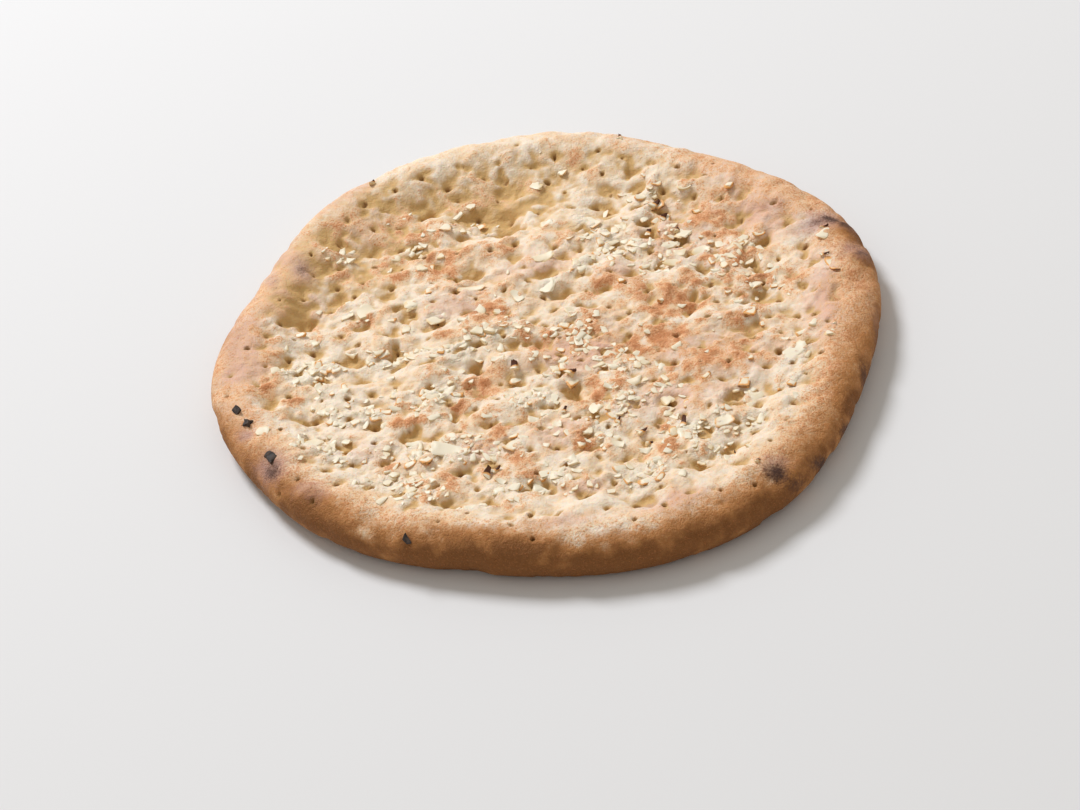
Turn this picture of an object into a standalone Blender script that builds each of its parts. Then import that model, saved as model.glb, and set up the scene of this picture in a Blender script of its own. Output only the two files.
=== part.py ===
"""Round garlic naan: one flat loaf with a puffed rim, a dented and docked top, and chopped garlic baked in.

Units are metres, +Z is up, and the origin is the middle of the box's underside. Sizes in the tables are in
millimetres and are scaled by MM. +X runs to the right of the loaf as it is looked at, +Y to its far side.
"""

import math
import random

import bmesh
import bpy
import numpy as np
from mathutils import Euler, Matrix, Vector
from mathutils.geometry import delaunay_2d_cdt

MM = 0.001

# The loaf's outline: a circle with a few low waves, as count: (height in mm, angle of a crest in degrees).
BREAD_RADIUS = 150 * MM
OUTLINE_WAVES = {2: (2.64, -47.0), 3: (0.72, -37.2), 4: (3.41, 16.2), 5: (0.93, 12.8),
                 6: (1.07, 2.8), 7: (0.85, 22.8), 8: (0.55, -6.0)}

# The rim's section: an ellipse above its widest height, and a tighter corner down to the flat underside.
WIDEST_HEIGHT = 10 * MM
RIM_RISE = 10.5 * MM
RIM_WIDTH = 15 * MM
FOOT_WIDTH = 8 * MM
SHOULDER_WIDTH = 42 * MM
SHOULDER_DROP = 6.5 * MM
THINNEST = 3 * MM
# The middle lies lower still toward one side, by this much at this angle in degrees, and less low opposite.
EXTRA_DROP = 2.6 * MM
DROP_SIDE = 115.0
EXTRA_START = 30 * MM
EXTRA_END = 90 * MM

# A dent runs evenly up from its lowest point to its far end, where it is wider by this share. Its near side
# is a steep lip, which reaches this share of its half width.
DENT_SPREAD = 0.8
DENT_LIP = 0.8
# Named dents that fingers left: x, y of the lowest point, half width, reach to the far side, depth, in mm.
FINGER_DENTS = [
    (-110, 37, 7, 23, 8), (-10, 84, 8, 32, 8), (-22, 97, 8, 18, 4.5), (-45, 105, 4.5, 8, 5.5),
    (-53, 78, 5.5, 8, 5), (-88, 86, 5.5, 15, 5), (-28, 54, 5.5, 18, 6), (-33, 44, 6, 5, 4),
    (-91, 51, 4, 11, 4.5), (-60, 33, 4.5, 7, 4.5), (-81, 29, 3.5, 9, 4), (-48, 20, 5, 7, 4),
    (-91, 6, 5.5, 16, 5.5), (-118, 8, 4.5, 9, 4), (-104, -6, 5.5, 12, 4), (-68, 4, 6, 9, 5),
    (-126, -22, 4.5, 15, 5), (-111, -32, 5, 8, 4.5), (-81, -28, 4.5, 9, 3.5), (-33, -15, 4, 7, 4.5),
    (-33, -33, 6.5, 12, 6.5), (-45, -46, 5, 9, 5.5), (-66, -54, 5, 8, 5.5), (-94, -54, 5.5, 7, 4),
    (-16, -6, 4.5, 7, 5), (-17, -28, 5.5, 11, 5), (-55, -105, 5.5, 11, 4.5), (-37, -106, 4.5, 7, 4.5),
    (-14, -56, 7, 8, 4.5), (2, -27, 4.5, 11, 5.5), (8, -45, 5, 12, 6.5), (15, -64, 4, 12, 5),
    (-4, -7, 5, 7, 4.5), (9, 1, 5, 7, 4.5), (70, 8, 4, 8, 5), (67, -2, 5, 11, 5), (97, -4, 4.5, 14, 7),
    (91, -24, 4.5, 11, 4.5), (34, -14, 3.5, 7, 4.5), (22, -33, 4, 8, 4.5), (58, -50, 4.5, 5, 4),
    (54, 106, 4.5, 14, 5.5), (41, 85, 5, 18, 5), (57, 59, 4.5, 15, 5.5), (69, 48, 5, 12, 5.5),
    (3, 42, 5.5, 12, 5), (12, 26, 4, 8, 5.5), (44, 31, 4, 7, 5), (31, 24, 5, 5, 4.5), (100, 17, 4.5, 15, 7),
    (105, 36, 4, 9, 5), (15, 54, 3.5, 8, 4), (75, -71, 5, 12, 5), (60, -86, 5, 8, 4.5),
    (52, -106, 6, 11, 4.5), (9, -84, 4.5, 5, 5), (45, -82, 6, 8, 3.5), (4, -113, 5, 8, 4.5),
    (48, -64, 4.5, 8, 4), (-15, -101, 4.5, 5, 4.5),
]
# Small dents between them, drawn by a seeded rule until no more fit.
SMALL_DENT_SEED = 7
SMALL_DENT_LIMIT = 260
SMALL_DENT_SPACING = 15 * MM
SMALL_DENT_WIDTH = (3 * MM, 5.5 * MM)
SMALL_DENT_REACH = (6 * MM, 12 * MM)
SMALL_DENT_DEPTH = (0.8 * MM, 3.0 * MM)
SMALL_DENT_MARGIN = 20 * MM

# Docking holes on the smooth rim, named: x, y in mm. The rest are drawn by a seeded rule inside it.
RIM_HOLES = [
    (-7, 127), (-16, 122), (-6, 119), (20, 126), (3, 136), (-34, 119), (-30, 112), (65, 105), (93, 95),
    (87, 88), (115, 56), (119, 42), (126, 40), (124, 25), (131, 46), (130, -19), (136, -21), (111, -22),
    (119, -24), (122, -9), (118, -2), (138, -9), (110, -81), (74, -128), (59, -128), (59, -136),
    (46, -127), (22, -137), (-20, -122), (-29, -127), (-21, -137), (-58, -118), (-116, -76), (-125, -78),
    (-110, -90), (-134, 18), (-143, 1), (-145, -12),
]
HOLE_SEED = 21
HOLE_LIMIT = 700
HOLE_SPACING = 11 * MM
HOLE_MARGIN = 19 * MM
HOLE_RADIUS = (1.5 * MM, 2.6 * MM)
HOLE_DEPTH = (2.5 * MM, 4.5 * MM)
# The finest holes are too small for the solid, which takes this many, those of the rim and then the widest.
SOLID_HOLES = 205
HOLE_SIDES = 6

# Garlic: the largest slices are named as x, y, length, width, heading in degrees; chopped bits are drawn.
GARLIC_SLICES = [
    (-48, 25, 10, 8, 20), (-80, 38, 9, 8, 100), (-57, 39, 10, 8, 20), (30, 76, 11, 8, 120),
    (5, 54, 10, 7, 10), (-9, 28, 9, 6, 120), (5, 32, 9, 6, 60), (-30, 42, 13, 4, -10),
    (62, 92, 10, 4, 60), (56, 86, 6, 5, 0), (56, 73, 12, 4, 80), (62, 79, 8, 6, 0), (65, 68, 8, 5, 70),
    (72, 55, 10, 8, 60), (63, 47, 9, 7, 0), (77, 38, 8, 6, 0), (92, 31, 10, 9, 60), (65, 33, 12, 6, -20),
    (98, 78, 10, 4, 60), (105, 43, 6, 4, 10), (105, -47, 12, 8, 40), (122, -41, 8, 5, 80),
    (111, -34, 7, 4, 20), (133, 26, 8, 6, 60), (132, 4, 11, 5, 100), (-92, -63, 17, 5, 8),
    (-108, -52, 9, 6, 15), (-129, -42, 7, 6, 60), (-50, -70, 13, 8, -20), (-22, -74, 8, 6, 50),
    (-60, -75, 6, 6, 45), (32, -47, 12, 6, 10), (8, -37, 7, 6, 30), (68, -83, 8, 8, 0),
    (83, -86, 9, 4, 60), (95, -65, 10, 4, 80), (101, -67, 9, 4, 55), (31, -112, 10, 5, 0),
    (46, -60, 11, 6, 110), (-88, 81, 8, 5, 70),
]
# Charred bits lie on the crust: x, y, length, width in mm, heading in degrees.
CHARRED_BITS = [
    (-140, -24, 4.5, 3.5, 120), (-136, -34, 4, 3.5, 70), (-126, -59, 6, 4.5, 120),
    (-72, -122, 4.5, 2.5, 110), (-69, 127, 3.5, 2.5, 60), (52, 127, 5, 2.5, 80), (62, 79, 4, 2.5, 40),
    (64, 68, 3.5, 2.5, 60), (125, -36, 3.5, 2.5, 90), (33, -80, 4, 2.5, 35), (51, -79, 4.5, 2.5, 75),
    (-35, -89, 4, 2.5, 60),
]
# Chopped garlic, drawn by a seeded rule. A lift is how far a chip's middle stands above the crust, as a
# share of its thickness.
CHIP_SEED = 33
CHIP_COUNT = 62
CHIP_LENGTH = (5 * MM, 8 * MM)
CHIP_WIDTH_SHARE = (0.55, 0.85)
CHIP_SPACING = 5.8 * MM
CHIP_MARGIN = 24 * MM
CHIP_FLATNESS = 0.55
CHIP_UNEVENNESS = (0.85, 1.2)
CHIP_TILT = 0.25
CHIP_LIFT = 0.05
# A chip rests at the mean height of the crust along a ring under it, of this radius as a share of its length.
CHIP_RING = 0.45
CHIP_RING_POINTS = 12
SLICE_THICKNESS = 3.2 * MM
BIT_THICKNESS = 3 * MM

# How finely the solid is faceted.
OUTLINE_SEGMENTS = 96
RIM_STEPS = (0.0, 0.05, 0.2, 0.44, 0.75, 1.1)
FOOT_STEPS = 3
FILLER_SEED = 7
FILLER_LIMIT = 2000
FILLER_SPACING = 5.2 * MM
UNDERSIDE_SEED = 21
UNDERSIDE_LIMIT = 200
UNDERSIDE_SPACING = 40 * MM
TRIES_PER_POINT = 60
SAME_POINT = 1e-7
WELD_DISTANCE = 0.02 * MM
SPECK_EDGE = 0.01 * MM

CRUST_COLOR = (0.70, 0.50, 0.30, 1.0)


def clear_scene():
    """Remove every object that the open file holds."""
    for thing in list(bpy.data.objects):
        bpy.data.objects.remove(thing, do_unlink=True)


def outline_radius(angle):
    """Distance from the outline's own middle to the widest point of the rim, at one angle or many."""
    radius = BREAD_RADIUS
    for count, (height, crest) in OUTLINE_WAVES.items():
        radius = radius + height * MM * np.cos(count * (angle - math.radians(crest)))
    return radius


def outline_middle():
    """Middle of the outline's box, which is where the origin goes."""
    angles = np.linspace(-math.pi, math.pi, 1441)
    x, y = outline_radius(angles) * np.cos(angles), outline_radius(angles) * np.sin(angles)
    return (x.max() + x.min()) / 2, (y.max() + y.min()) / 2


def inward_distance(x, y):
    """How far a point lies inside the outline, measured along its radius."""
    return outline_radius(np.arctan2(y, x)) - np.hypot(x, y)


def draw_points(rng, count, spacing, margin, taken):
    """Random points inside the rim, each at least its spacing from the others and from those taken."""
    chosen = list(taken)
    first = len(chosen)
    for _ in range(count * TRIES_PER_POINT):
        if len(chosen) - first == count:
            break
        radius = BREAD_RADIUS * math.sqrt(rng.random())
        angle = rng.uniform(-math.pi, math.pi)
        x, y = radius * math.cos(angle), radius * math.sin(angle)
        near = np.array(chosen)[:, :2] if chosen else np.zeros((0, 2))
        if inward_distance(x, y) < margin:
            continue
        if len(near) and np.hypot(near[:, 0] - x, near[:, 1] - y).min() < spacing:
            continue
        chosen.append((x, y))
    return chosen[first:]


def make_dents():
    """Finger dents and the smaller ones between them, as rows of x, y, half width, reach and depth."""
    rng = random.Random(SMALL_DENT_SEED)
    named = [tuple(value * MM for value in dent) for dent in FINGER_DENTS]
    taken = [dent[:2] for dent in named]
    small = []
    for x, y in draw_points(rng, SMALL_DENT_LIMIT, SMALL_DENT_SPACING, SMALL_DENT_MARGIN, taken):
        wide, reach = rng.uniform(*SMALL_DENT_WIDTH), rng.uniform(*SMALL_DENT_REACH)
        small.append((x, y, wide, reach, rng.uniform(*SMALL_DENT_DEPTH)))
    return np.array(named + small)


def make_holes():
    """Docking holes as rows of x, y, radius and depth: those of the rim, then from wide to narrow."""
    rng = random.Random(HOLE_SEED)
    rim = [(x * MM, y * MM) for x, y in RIM_HOLES]
    inner = draw_points(rng, HOLE_LIMIT, HOLE_SPACING, HOLE_MARGIN, rim)
    named = [(x, y, rng.uniform(*HOLE_RADIUS), rng.uniform(*HOLE_DEPTH)) for x, y in rim]
    drawn = [(x, y, rng.uniform(*HOLE_RADIUS), rng.uniform(*HOLE_DEPTH)) for x, y in inner]
    return np.array(named + sorted(drawn, key=lambda hole: -hole[2]))


def top_height(x, y, dents, holes):
    """Height of the top surface over points of the outline's plane."""
    inward = inward_distance(x, y)
    turn = np.clip(1 - inward / RIM_WIDTH, 0, 1)
    height = WIDEST_HEIGHT + RIM_RISE * np.sqrt(1 - turn * turn)
    slope = np.clip((inward - RIM_WIDTH) / (SHOULDER_WIDTH - RIM_WIDTH), 0, 1)
    spread = np.clip((np.hypot(x, y) - EXTRA_START) / (EXTRA_END - EXTRA_START), 0, 1)
    drop = SHOULDER_DROP + EXTRA_DROP * spread * np.cos(np.arctan2(y, x) - math.radians(DROP_SIDE))
    height = height - drop * slope * slope * (3 - 2 * slope)
    for dent_x, dent_y, wide, reach, depth in dents:
        share = np.clip((y - dent_y) / reach, 0, 1)
        across = (x - dent_x) / (wide * (1 + DENT_SPREAD * share))
        toward = np.minimum(y - dent_y, 0) / (wide * DENT_LIP)
        height = height - depth * (1 - share) * np.exp(-across * across - toward * toward)
    for hole_x, hole_y, radius, depth in holes:
        away = np.hypot(x - hole_x, y - hole_y) / radius
        height = height - depth * np.clip(1 - away, 0, 1)
    return np.where(inward > RIM_WIDTH, np.maximum(height, THINNEST), height)


def surface_points(dents, holes):
    """Plan positions of the top's points: rings on the rim, a fan for each hole and an even filling."""
    points = []
    for step in RIM_STEPS:
        for index in range(OUTLINE_SEGMENTS):
            angle = 2 * math.pi * index / OUTLINE_SEGMENTS
            radius = outline_radius(angle) - step * RIM_WIDTH
            points.append((radius * math.cos(angle), radius * math.sin(angle)))
    rim_count = len(points)
    for hole_x, hole_y, radius, _ in holes:
        points.append((hole_x, hole_y))
        for side in range(HOLE_SIDES):
            angle = 2 * math.pi * side / HOLE_SIDES + hole_x / MM  # each fan is turned its own way
            points.append((hole_x + radius * math.cos(angle), hole_y + radius * math.sin(angle)))
    rng = random.Random(FILLER_SEED)
    for dent_x, dent_y, *_ in dents:
        near = np.array(points)
        if np.hypot(near[:, 0] - dent_x, near[:, 1] - dent_y).min() > FILLER_SPACING / 2:
            points.append((dent_x, dent_y))
    filler_margin = RIM_STEPS[-1] * RIM_WIDTH + FILLER_SPACING / 2
    points += draw_points(rng, FILLER_LIMIT, FILLER_SPACING, filler_margin, points)
    print("top points", len(points), "of which on the rim", rim_count)
    return points


def build_loaf(dents, holes):
    """The loaf as one closed mesh: the top over its plan triangles, the foot's rings and the underside."""
    mesh = bmesh.new()
    plan = surface_points(dents, holes)
    boundary = list(range(OUTLINE_SEGMENTS))
    flat, _, faces, *_ = delaunay_2d_cdt([Vector(point) for point in plan], [], [boundary], 1, SAME_POINT)
    x, y = np.array([point.x for point in flat]), np.array([point.y for point in flat])
    heights = top_height(x, y, dents, holes)
    top = [mesh.verts.new((*point, height)) for point, height in zip(flat, heights)]
    for face in faces:
        mesh.faces.new([top[index] for index in face])

    ring = top[:OUTLINE_SEGMENTS]
    for step in range(1, FOOT_STEPS + 1):
        turn = 0.5 * math.pi * step / FOOT_STEPS
        inward, height = FOOT_WIDTH * (1 - math.cos(turn)), WIDEST_HEIGHT * (1 - math.sin(turn))
        lower = []
        for index in range(OUTLINE_SEGMENTS):
            angle = 2 * math.pi * index / OUTLINE_SEGMENTS
            radius = outline_radius(angle) - inward
            lower.append(mesh.verts.new((radius * math.cos(angle), radius * math.sin(angle), height)))
        for index in range(OUTLINE_SEGMENTS):
            after = (index + 1) % OUTLINE_SEGMENTS
            mesh.faces.new([ring[index], lower[index], lower[after], ring[after]])
        ring = lower
    rng = random.Random(UNDERSIDE_SEED)
    foot_plan = [vert.co.xy.copy() for vert in ring]
    spots = draw_points(rng, UNDERSIDE_LIMIT, UNDERSIDE_SPACING, UNDERSIDE_SPACING, [])
    foot_plan += [Vector(spot) for spot in spots]
    flat, _, faces, *_ = delaunay_2d_cdt(foot_plan, [], [boundary], 1, SAME_POINT)
    inner = [mesh.verts.new((*point, 0)) for point in flat[OUTLINE_SEGMENTS:]]
    foot = ring + inner
    for face in faces:
        mesh.faces.new([foot[index] for index in reversed(face)])
    bmesh.ops.triangulate(mesh, faces=mesh.faces[:])
    bmesh.ops.recalc_face_normals(mesh, faces=mesh.faces[:])
    return mesh


def resting_height(x, y, length, dents, holes):
    """Mean height of the top along the ring on which a chip of this length rests."""
    turns = 2 * math.pi * np.arange(CHIP_RING_POINTS) / CHIP_RING_POINTS
    reach = CHIP_RING * length
    return float(top_height(x + reach * np.cos(turns), y + reach * np.sin(turns), dents, holes).mean())


def add_chip(name, collection, place, size, turn, rng):
    """One irregular chip: a 20-sided ball pulled uneven, flattened to its size, turned and half sunk."""
    chip = bmesh.new()
    bmesh.ops.create_icosphere(chip, subdivisions=1, radius=0.5)
    for vert in chip.verts:
        vert.co *= rng.uniform(*CHIP_UNEVENNESS)
    chip.transform(Matrix.LocRotScale(Vector(place), Euler(turn), Vector(size)))
    data = bpy.data.meshes.new(name)
    chip.to_mesh(data)
    chip.free()
    collection.objects.link(bpy.data.objects.new(name, data))


def add_toppings(collection, dents, holes):
    """Garlic slices, chopped garlic and charred bits, each standing half out of the crust."""
    rng = random.Random(CHIP_SEED)
    rows = [(x * MM, y * MM, length * MM, width * MM, SLICE_THICKNESS, heading)
            for x, y, length, width, heading in GARLIC_SLICES]
    rows += [(x * MM, y * MM, length * MM, width * MM, BIT_THICKNESS, heading)
             for x, y, length, width, heading in CHARRED_BITS]
    taken = [row[:2] for row in rows] + [tuple(hole[:2]) for hole in holes]
    for x, y in draw_points(rng, CHIP_COUNT, CHIP_SPACING, CHIP_MARGIN, taken):
        length = rng.uniform(*CHIP_LENGTH)
        width = length * rng.uniform(*CHIP_WIDTH_SHARE)
        rows.append((x, y, length, width, length * CHIP_FLATNESS, rng.uniform(0, 180)))
    for number, (x, y, length, width, thickness, heading) in enumerate(rows):
        height = resting_height(x, y, length, dents, holes)
        turn = (rng.uniform(-CHIP_TILT, CHIP_TILT), rng.uniform(-CHIP_TILT, CHIP_TILT), math.radians(heading))
        place = (x, y, height + CHIP_LIFT * thickness)
        add_chip(f"chip_{number}", collection, place, (length, width, thickness), turn, rng)


def fuse_toppings(loaf, collection):
    """Join every chip to the loaf with one union, apply it and drop the loose chips."""
    union = loaf.modifiers.new("fuse", "BOOLEAN")
    union.operation = "UNION"
    union.solver = "EXACT"
    union.operand_type = "COLLECTION"
    union.collection = collection
    bpy.context.view_layer.update()
    graph = bpy.context.evaluated_depsgraph_get()
    fused = bpy.data.meshes.new_from_object(loaf.evaluated_get(graph))
    loaf.modifiers.remove(union)
    loaf.data = fused
    for chip in list(collection.objects):
        bpy.data.objects.remove(chip, do_unlink=True)
    bpy.data.collections.remove(collection)


def tidy_solid(loaf):
    """Weld specks, keep the one largest body and put the origin under the middle of the box."""
    mesh = bmesh.new()
    mesh.from_mesh(loaf.data)
    bmesh.ops.triangulate(mesh, faces=mesh.faces[:])
    bmesh.ops.remove_doubles(mesh, verts=mesh.verts[:], dist=WELD_DISTANCE)
    bmesh.ops.dissolve_degenerate(mesh, edges=mesh.edges[:], dist=SPECK_EDGE)
    bmesh.ops.triangulate(mesh, faces=mesh.faces[:])
    bodies, seen = [], set()
    for start in mesh.verts:
        if start in seen:
            continue
        body, queue = set(), [start]
        while queue:
            vert = queue.pop()
            if vert not in body:
                body.add(vert)
                queue += [edge.other_vert(vert) for edge in vert.link_edges]
        seen |= body
        bodies.append(body)
    keep = max(bodies, key=len)
    bmesh.ops.delete(mesh, geom=[vert for vert in mesh.verts if vert not in keep], context="VERTS")
    middle_x, middle_y = outline_middle()
    bmesh.ops.translate(mesh, verts=mesh.verts[:], vec=(-middle_x, -middle_y, 0))
    mesh.to_mesh(loaf.data)
    print("bodies found", len(bodies), "triangles kept", len(mesh.faces))
    mesh.free()


def crust_material():
    """Baked crust: pale toasted tan and dull."""
    crust = bpy.data.materials.new("crust")
    crust.use_nodes = True
    shader = crust.node_tree.nodes["Principled BSDF"]
    shader.inputs["Base Color"].default_value = CRUST_COLOR
    shader.inputs["Roughness"].default_value = 0.75
    shader.inputs["Metallic"].default_value = 0.0
    return crust


def build_naan():
    """The whole loaf, fused with its toppings, as one named object."""
    dents, holes = make_dents(), make_holes()[:SOLID_HOLES]
    mesh = build_loaf(dents, holes)
    data = bpy.data.meshes.new("naan")
    mesh.to_mesh(data)
    mesh.free()
    loaf = bpy.data.objects.new("naan", data)
    bpy.context.scene.collection.objects.link(loaf)
    toppings = bpy.data.collections.new("toppings")
    bpy.context.scene.collection.children.link(toppings)
    add_toppings(toppings, dents, holes)
    fuse_toppings(loaf, toppings)
    tidy_solid(loaf)
    loaf.data.materials.clear()
    loaf.data.materials.append(crust_material())
    loaf.data.shade_smooth()
    loaf.data.set_sharp_from_angle(angle=math.radians(50))


clear_scene()
build_naan()
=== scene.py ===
import math
import random

import bpy
import bmesh
import numpy as np
from mathutils import Euler, Matrix, Vector
from mathutils.geometry import delaunay_2d_cdt


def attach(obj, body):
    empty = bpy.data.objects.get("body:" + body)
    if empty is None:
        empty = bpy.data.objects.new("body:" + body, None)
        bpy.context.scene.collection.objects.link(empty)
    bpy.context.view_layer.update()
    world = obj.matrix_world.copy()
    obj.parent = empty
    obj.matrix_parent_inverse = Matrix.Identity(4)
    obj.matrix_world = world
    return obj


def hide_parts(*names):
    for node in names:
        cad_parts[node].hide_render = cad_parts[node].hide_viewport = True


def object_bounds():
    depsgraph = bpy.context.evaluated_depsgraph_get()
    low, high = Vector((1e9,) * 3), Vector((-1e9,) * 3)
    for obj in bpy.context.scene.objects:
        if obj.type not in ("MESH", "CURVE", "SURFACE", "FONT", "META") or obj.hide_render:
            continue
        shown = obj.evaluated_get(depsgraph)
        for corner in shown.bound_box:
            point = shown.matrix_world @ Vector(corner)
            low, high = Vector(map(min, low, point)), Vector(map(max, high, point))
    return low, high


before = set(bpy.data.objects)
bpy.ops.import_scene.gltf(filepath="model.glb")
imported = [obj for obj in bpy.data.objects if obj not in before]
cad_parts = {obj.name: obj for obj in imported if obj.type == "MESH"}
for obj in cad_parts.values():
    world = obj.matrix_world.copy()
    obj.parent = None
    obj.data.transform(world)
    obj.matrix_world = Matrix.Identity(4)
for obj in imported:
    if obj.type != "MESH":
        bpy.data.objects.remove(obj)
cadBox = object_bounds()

mm = 0.001  # every size below is in millimetres and is scaled by this when a mesh is made
tallest = cadBox[1][2] / mm - 0.1  # nothing stands above the solid's box

loaf = {  # the same section and outline as the solid
    "radius": 150,
    "waves": {2: (2.64, -47.0), 3: (0.72, -37.2), 4: (3.41, 16.2), 5: (0.93, 12.8),
              6: (1.07, 2.8), 7: (0.85, 22.8), 8: (0.55, -6.0)},
    "widestHeight": 10,
    "rimRise": 10.5,
    "rimWidth": 15,
    "footWidth": 8,
    "shoulderWidth": 42,
    "shoulderDrop": 6.5,
    "extraDrop": 2.6,  # the middle lies lower still toward one side, and less low on the other
    "dropSide": 115.0,
    "extraStart": 30,
    "extraEnd": 90,
    "thinnest": 3,
    "skin": 0.25,  # how far the outline keeps inside the solid's box
}

grid = {"reach": 180, "step": 0.4}  # the square of relief and colour maps that the loaf is cut from
axis = np.arange(-grid["reach"], grid["reach"] + grid["step"] / 2, grid["step"])
gridX, gridY = np.meshgrid(axis, axis)


def edgeRadius(angle):
    radius = loaf["radius"]
    for count, (height, crest) in loaf["waves"].items():
        radius = radius + height * np.cos(count * (angle - math.radians(crest)))
    return radius


def edgeMiddle():  # middle of the outline's box
    angles = np.linspace(-math.pi, math.pi, 1441)  # every quarter of a degree
    x, y = edgeRadius(angles) * np.cos(angles), edgeRadius(angles) * np.sin(angles)
    return (x.max() + x.min()) / 2, (y.max() + y.min()) / 2


def inwardOf(x, y):
    return edgeRadius(np.arctan2(y, x)) - np.hypot(x, y)


def smooth(value, low, high):  # 0 below low, 1 above high, eased between
    share = np.clip((value - low) / (high - low), 0, 1)
    return share * share * (3 - 2 * share)


# The rim unrolled: distance along its section, 0 at the widest height, positive up over the crest.

quarter = np.linspace(0, math.pi / 2, 300)  # rim and foot are quarters of an oval


def sectionTable(width, rise):
    inward, height = width * (1 - np.cos(quarter)), rise * np.sin(quarter)
    steps = np.hypot(np.diff(inward), np.diff(height))
    return np.concatenate([[0], np.cumsum(steps)]), inward, height


crestTable = sectionTable(loaf["rimWidth"], loaf["rimRise"])
footTable = sectionTable(loaf["footWidth"], loaf["widestHeight"])
crestLength, footLength = crestTable[0][-1], footTable[0][-1]
unrolledExtra = crestLength - loaf["rimWidth"]
middleEdge = (crestLength - 2, crestLength + 14)  # where the rim turns into the pressed middle


def climbOf(u, v):  # distance along the section of a point of the unrolled loaf
    return edgeRadius(np.arctan2(v, u)) + unrolledExtra - np.hypot(u, v)


def middleShare(climb):  # 0 on the rim, 1 on the pressed middle
    return smooth(climb, *middleEdge)


def unroll(x, y):  # plan position on the top to its unrolled place, which differs on the rim alone
    inward = inwardOf(x, y)
    climb = np.where(inward < loaf["rimWidth"], np.interp(inward, crestTable[1], crestTable[0]),
                     crestLength + inward - loaf["rimWidth"])
    radius = edgeRadius(np.arctan2(y, x)) + unrolledExtra - climb
    share = radius / np.maximum(np.hypot(x, y), 1e-6)
    return x * share, y * share


def basePoints(u, v):  # place and normal of the loaf's plain section under each unrolled point
    angle = np.arctan2(v, u)
    climb = climbOf(u, v)
    inward = np.interp(climb, crestTable[0], crestTable[1])
    inward = np.where(climb > crestLength, loaf["rimWidth"] + climb - crestLength, inward)
    inward = np.where(climb < 0, np.interp(-climb, footTable[0], footTable[1]), inward)
    height = loaf["widestHeight"] + np.interp(climb, crestTable[0], crestTable[2])
    fall = np.interp(-climb, footTable[0], footTable[2])
    height = np.where(climb < 0, loaf["widestHeight"] - fall, height)
    radius = edgeRadius(angle) - inward
    spread = np.clip((radius - loaf["extraStart"]) / (loaf["extraEnd"] - loaf["extraStart"]), 0, 1)
    toward = np.cos(angle - math.radians(loaf["dropSide"]))
    drop = loaf["shoulderDrop"] + loaf["extraDrop"] * spread * toward
    height = height - drop * smooth(inward, loaf["rimWidth"], loaf["shoulderWidth"])
    turnUp = np.arccos(np.clip(1 - np.minimum(inward, loaf["rimWidth"]) / loaf["rimWidth"], 0, 1))
    turnDown = np.arccos(np.clip(1 - np.minimum(inward, loaf["footWidth"]) / loaf["footWidth"], 0, 1))
    outward = np.where(climb >= 0, np.cos(turnUp) / loaf["rimWidth"],
                       np.cos(turnDown) / loaf["footWidth"])
    upward = np.where(climb >= 0, np.sin(turnUp) / loaf["rimRise"],
                      -np.sin(turnDown) / loaf["widestHeight"])
    length = np.hypot(outward, upward)
    place = np.stack([radius * np.cos(angle), radius * np.sin(angle), height], -1)
    normal = np.stack([outward * np.cos(angle), outward * np.sin(angle), upward], -1) / length[:, None]
    return place, normal


# Maps: soft noise, stamps and readings.

waveAxis = np.fft.fftfreq(len(axis), grid["step"])
waveCount = np.hypot(*np.meshgrid(waveAxis, waveAxis))
lumpBand = 0.5  # how much the lumps of one noise differ in size
blotReach = 2.4  # half widths at which a blot has faded out


def lumps(seed, size):  # noise whose lumps are about one size across, with a spread of 1
    white = np.fft.fft2(np.random.default_rng(seed).standard_normal(gridX.shape))
    field = np.fft.ifft2(white * np.exp(-((waveCount * 2 * size - 1) / lumpBand) ** 2)).real
    return field / field.std()


def blur(field, width):
    return np.fft.ifft2(np.fft.fft2(field) * np.exp(-2 * (math.pi * width * waveCount) ** 2)).real


def patch(x, y, reach):  # the part of the maps near a point, with distances from it
    first = [int(max((value - reach + grid["reach"]) / grid["step"], 0)) for value in (x, y)]
    last = [int((value + reach + grid["reach"]) / grid["step"]) + 2 for value in (x, y)]
    part = (slice(first[1], last[1]), slice(first[0], last[0]))
    return part, gridX[part] - x, gridY[part] - y


def unrolledSpot(x, y):  # unroll for one point
    return [float(value) for value in unroll(np.array(x, float), np.array(y, float))]


def readMap(field, u, v):
    column = np.clip((u + grid["reach"]) / grid["step"], 0, len(axis) - 1.001)
    row = np.clip((v + grid["reach"]) / grid["step"], 0, len(axis) - 1.001)
    left, low = column.astype(int), row.astype(int)
    across, up = column - left, row - low
    near = field[low, left] * (1 - across) + field[low, left + 1] * across
    far = field[low + 1, left] * (1 - across) + field[low + 1, left + 1] * across
    return near * (1 - up) + far * up


def turned(dx, dy, turn):  # distances along and across a heading
    return dx * math.cos(turn) + dy * math.sin(turn), dy * math.cos(turn) - dx * math.sin(turn)


def blobs(rows, grow=1):  # soft blots: rows of u, v, half widths, turn in degrees and strength
    field = np.zeros(gridX.shape)
    for u, v, wide, long, turn, strength in rows:
        part, dx, dy = patch(u, v, blotReach * grow * max(wide, long))
        along, across = turned(dx, dy, math.radians(turn))
        away = ((along / wide) ** 2 + (across / long) ** 2) / grow ** 2
        field[part] = np.maximum(field[part], strength * np.exp(-away))
    return field


drawTries = 60  # for each point that is wanted


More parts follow.
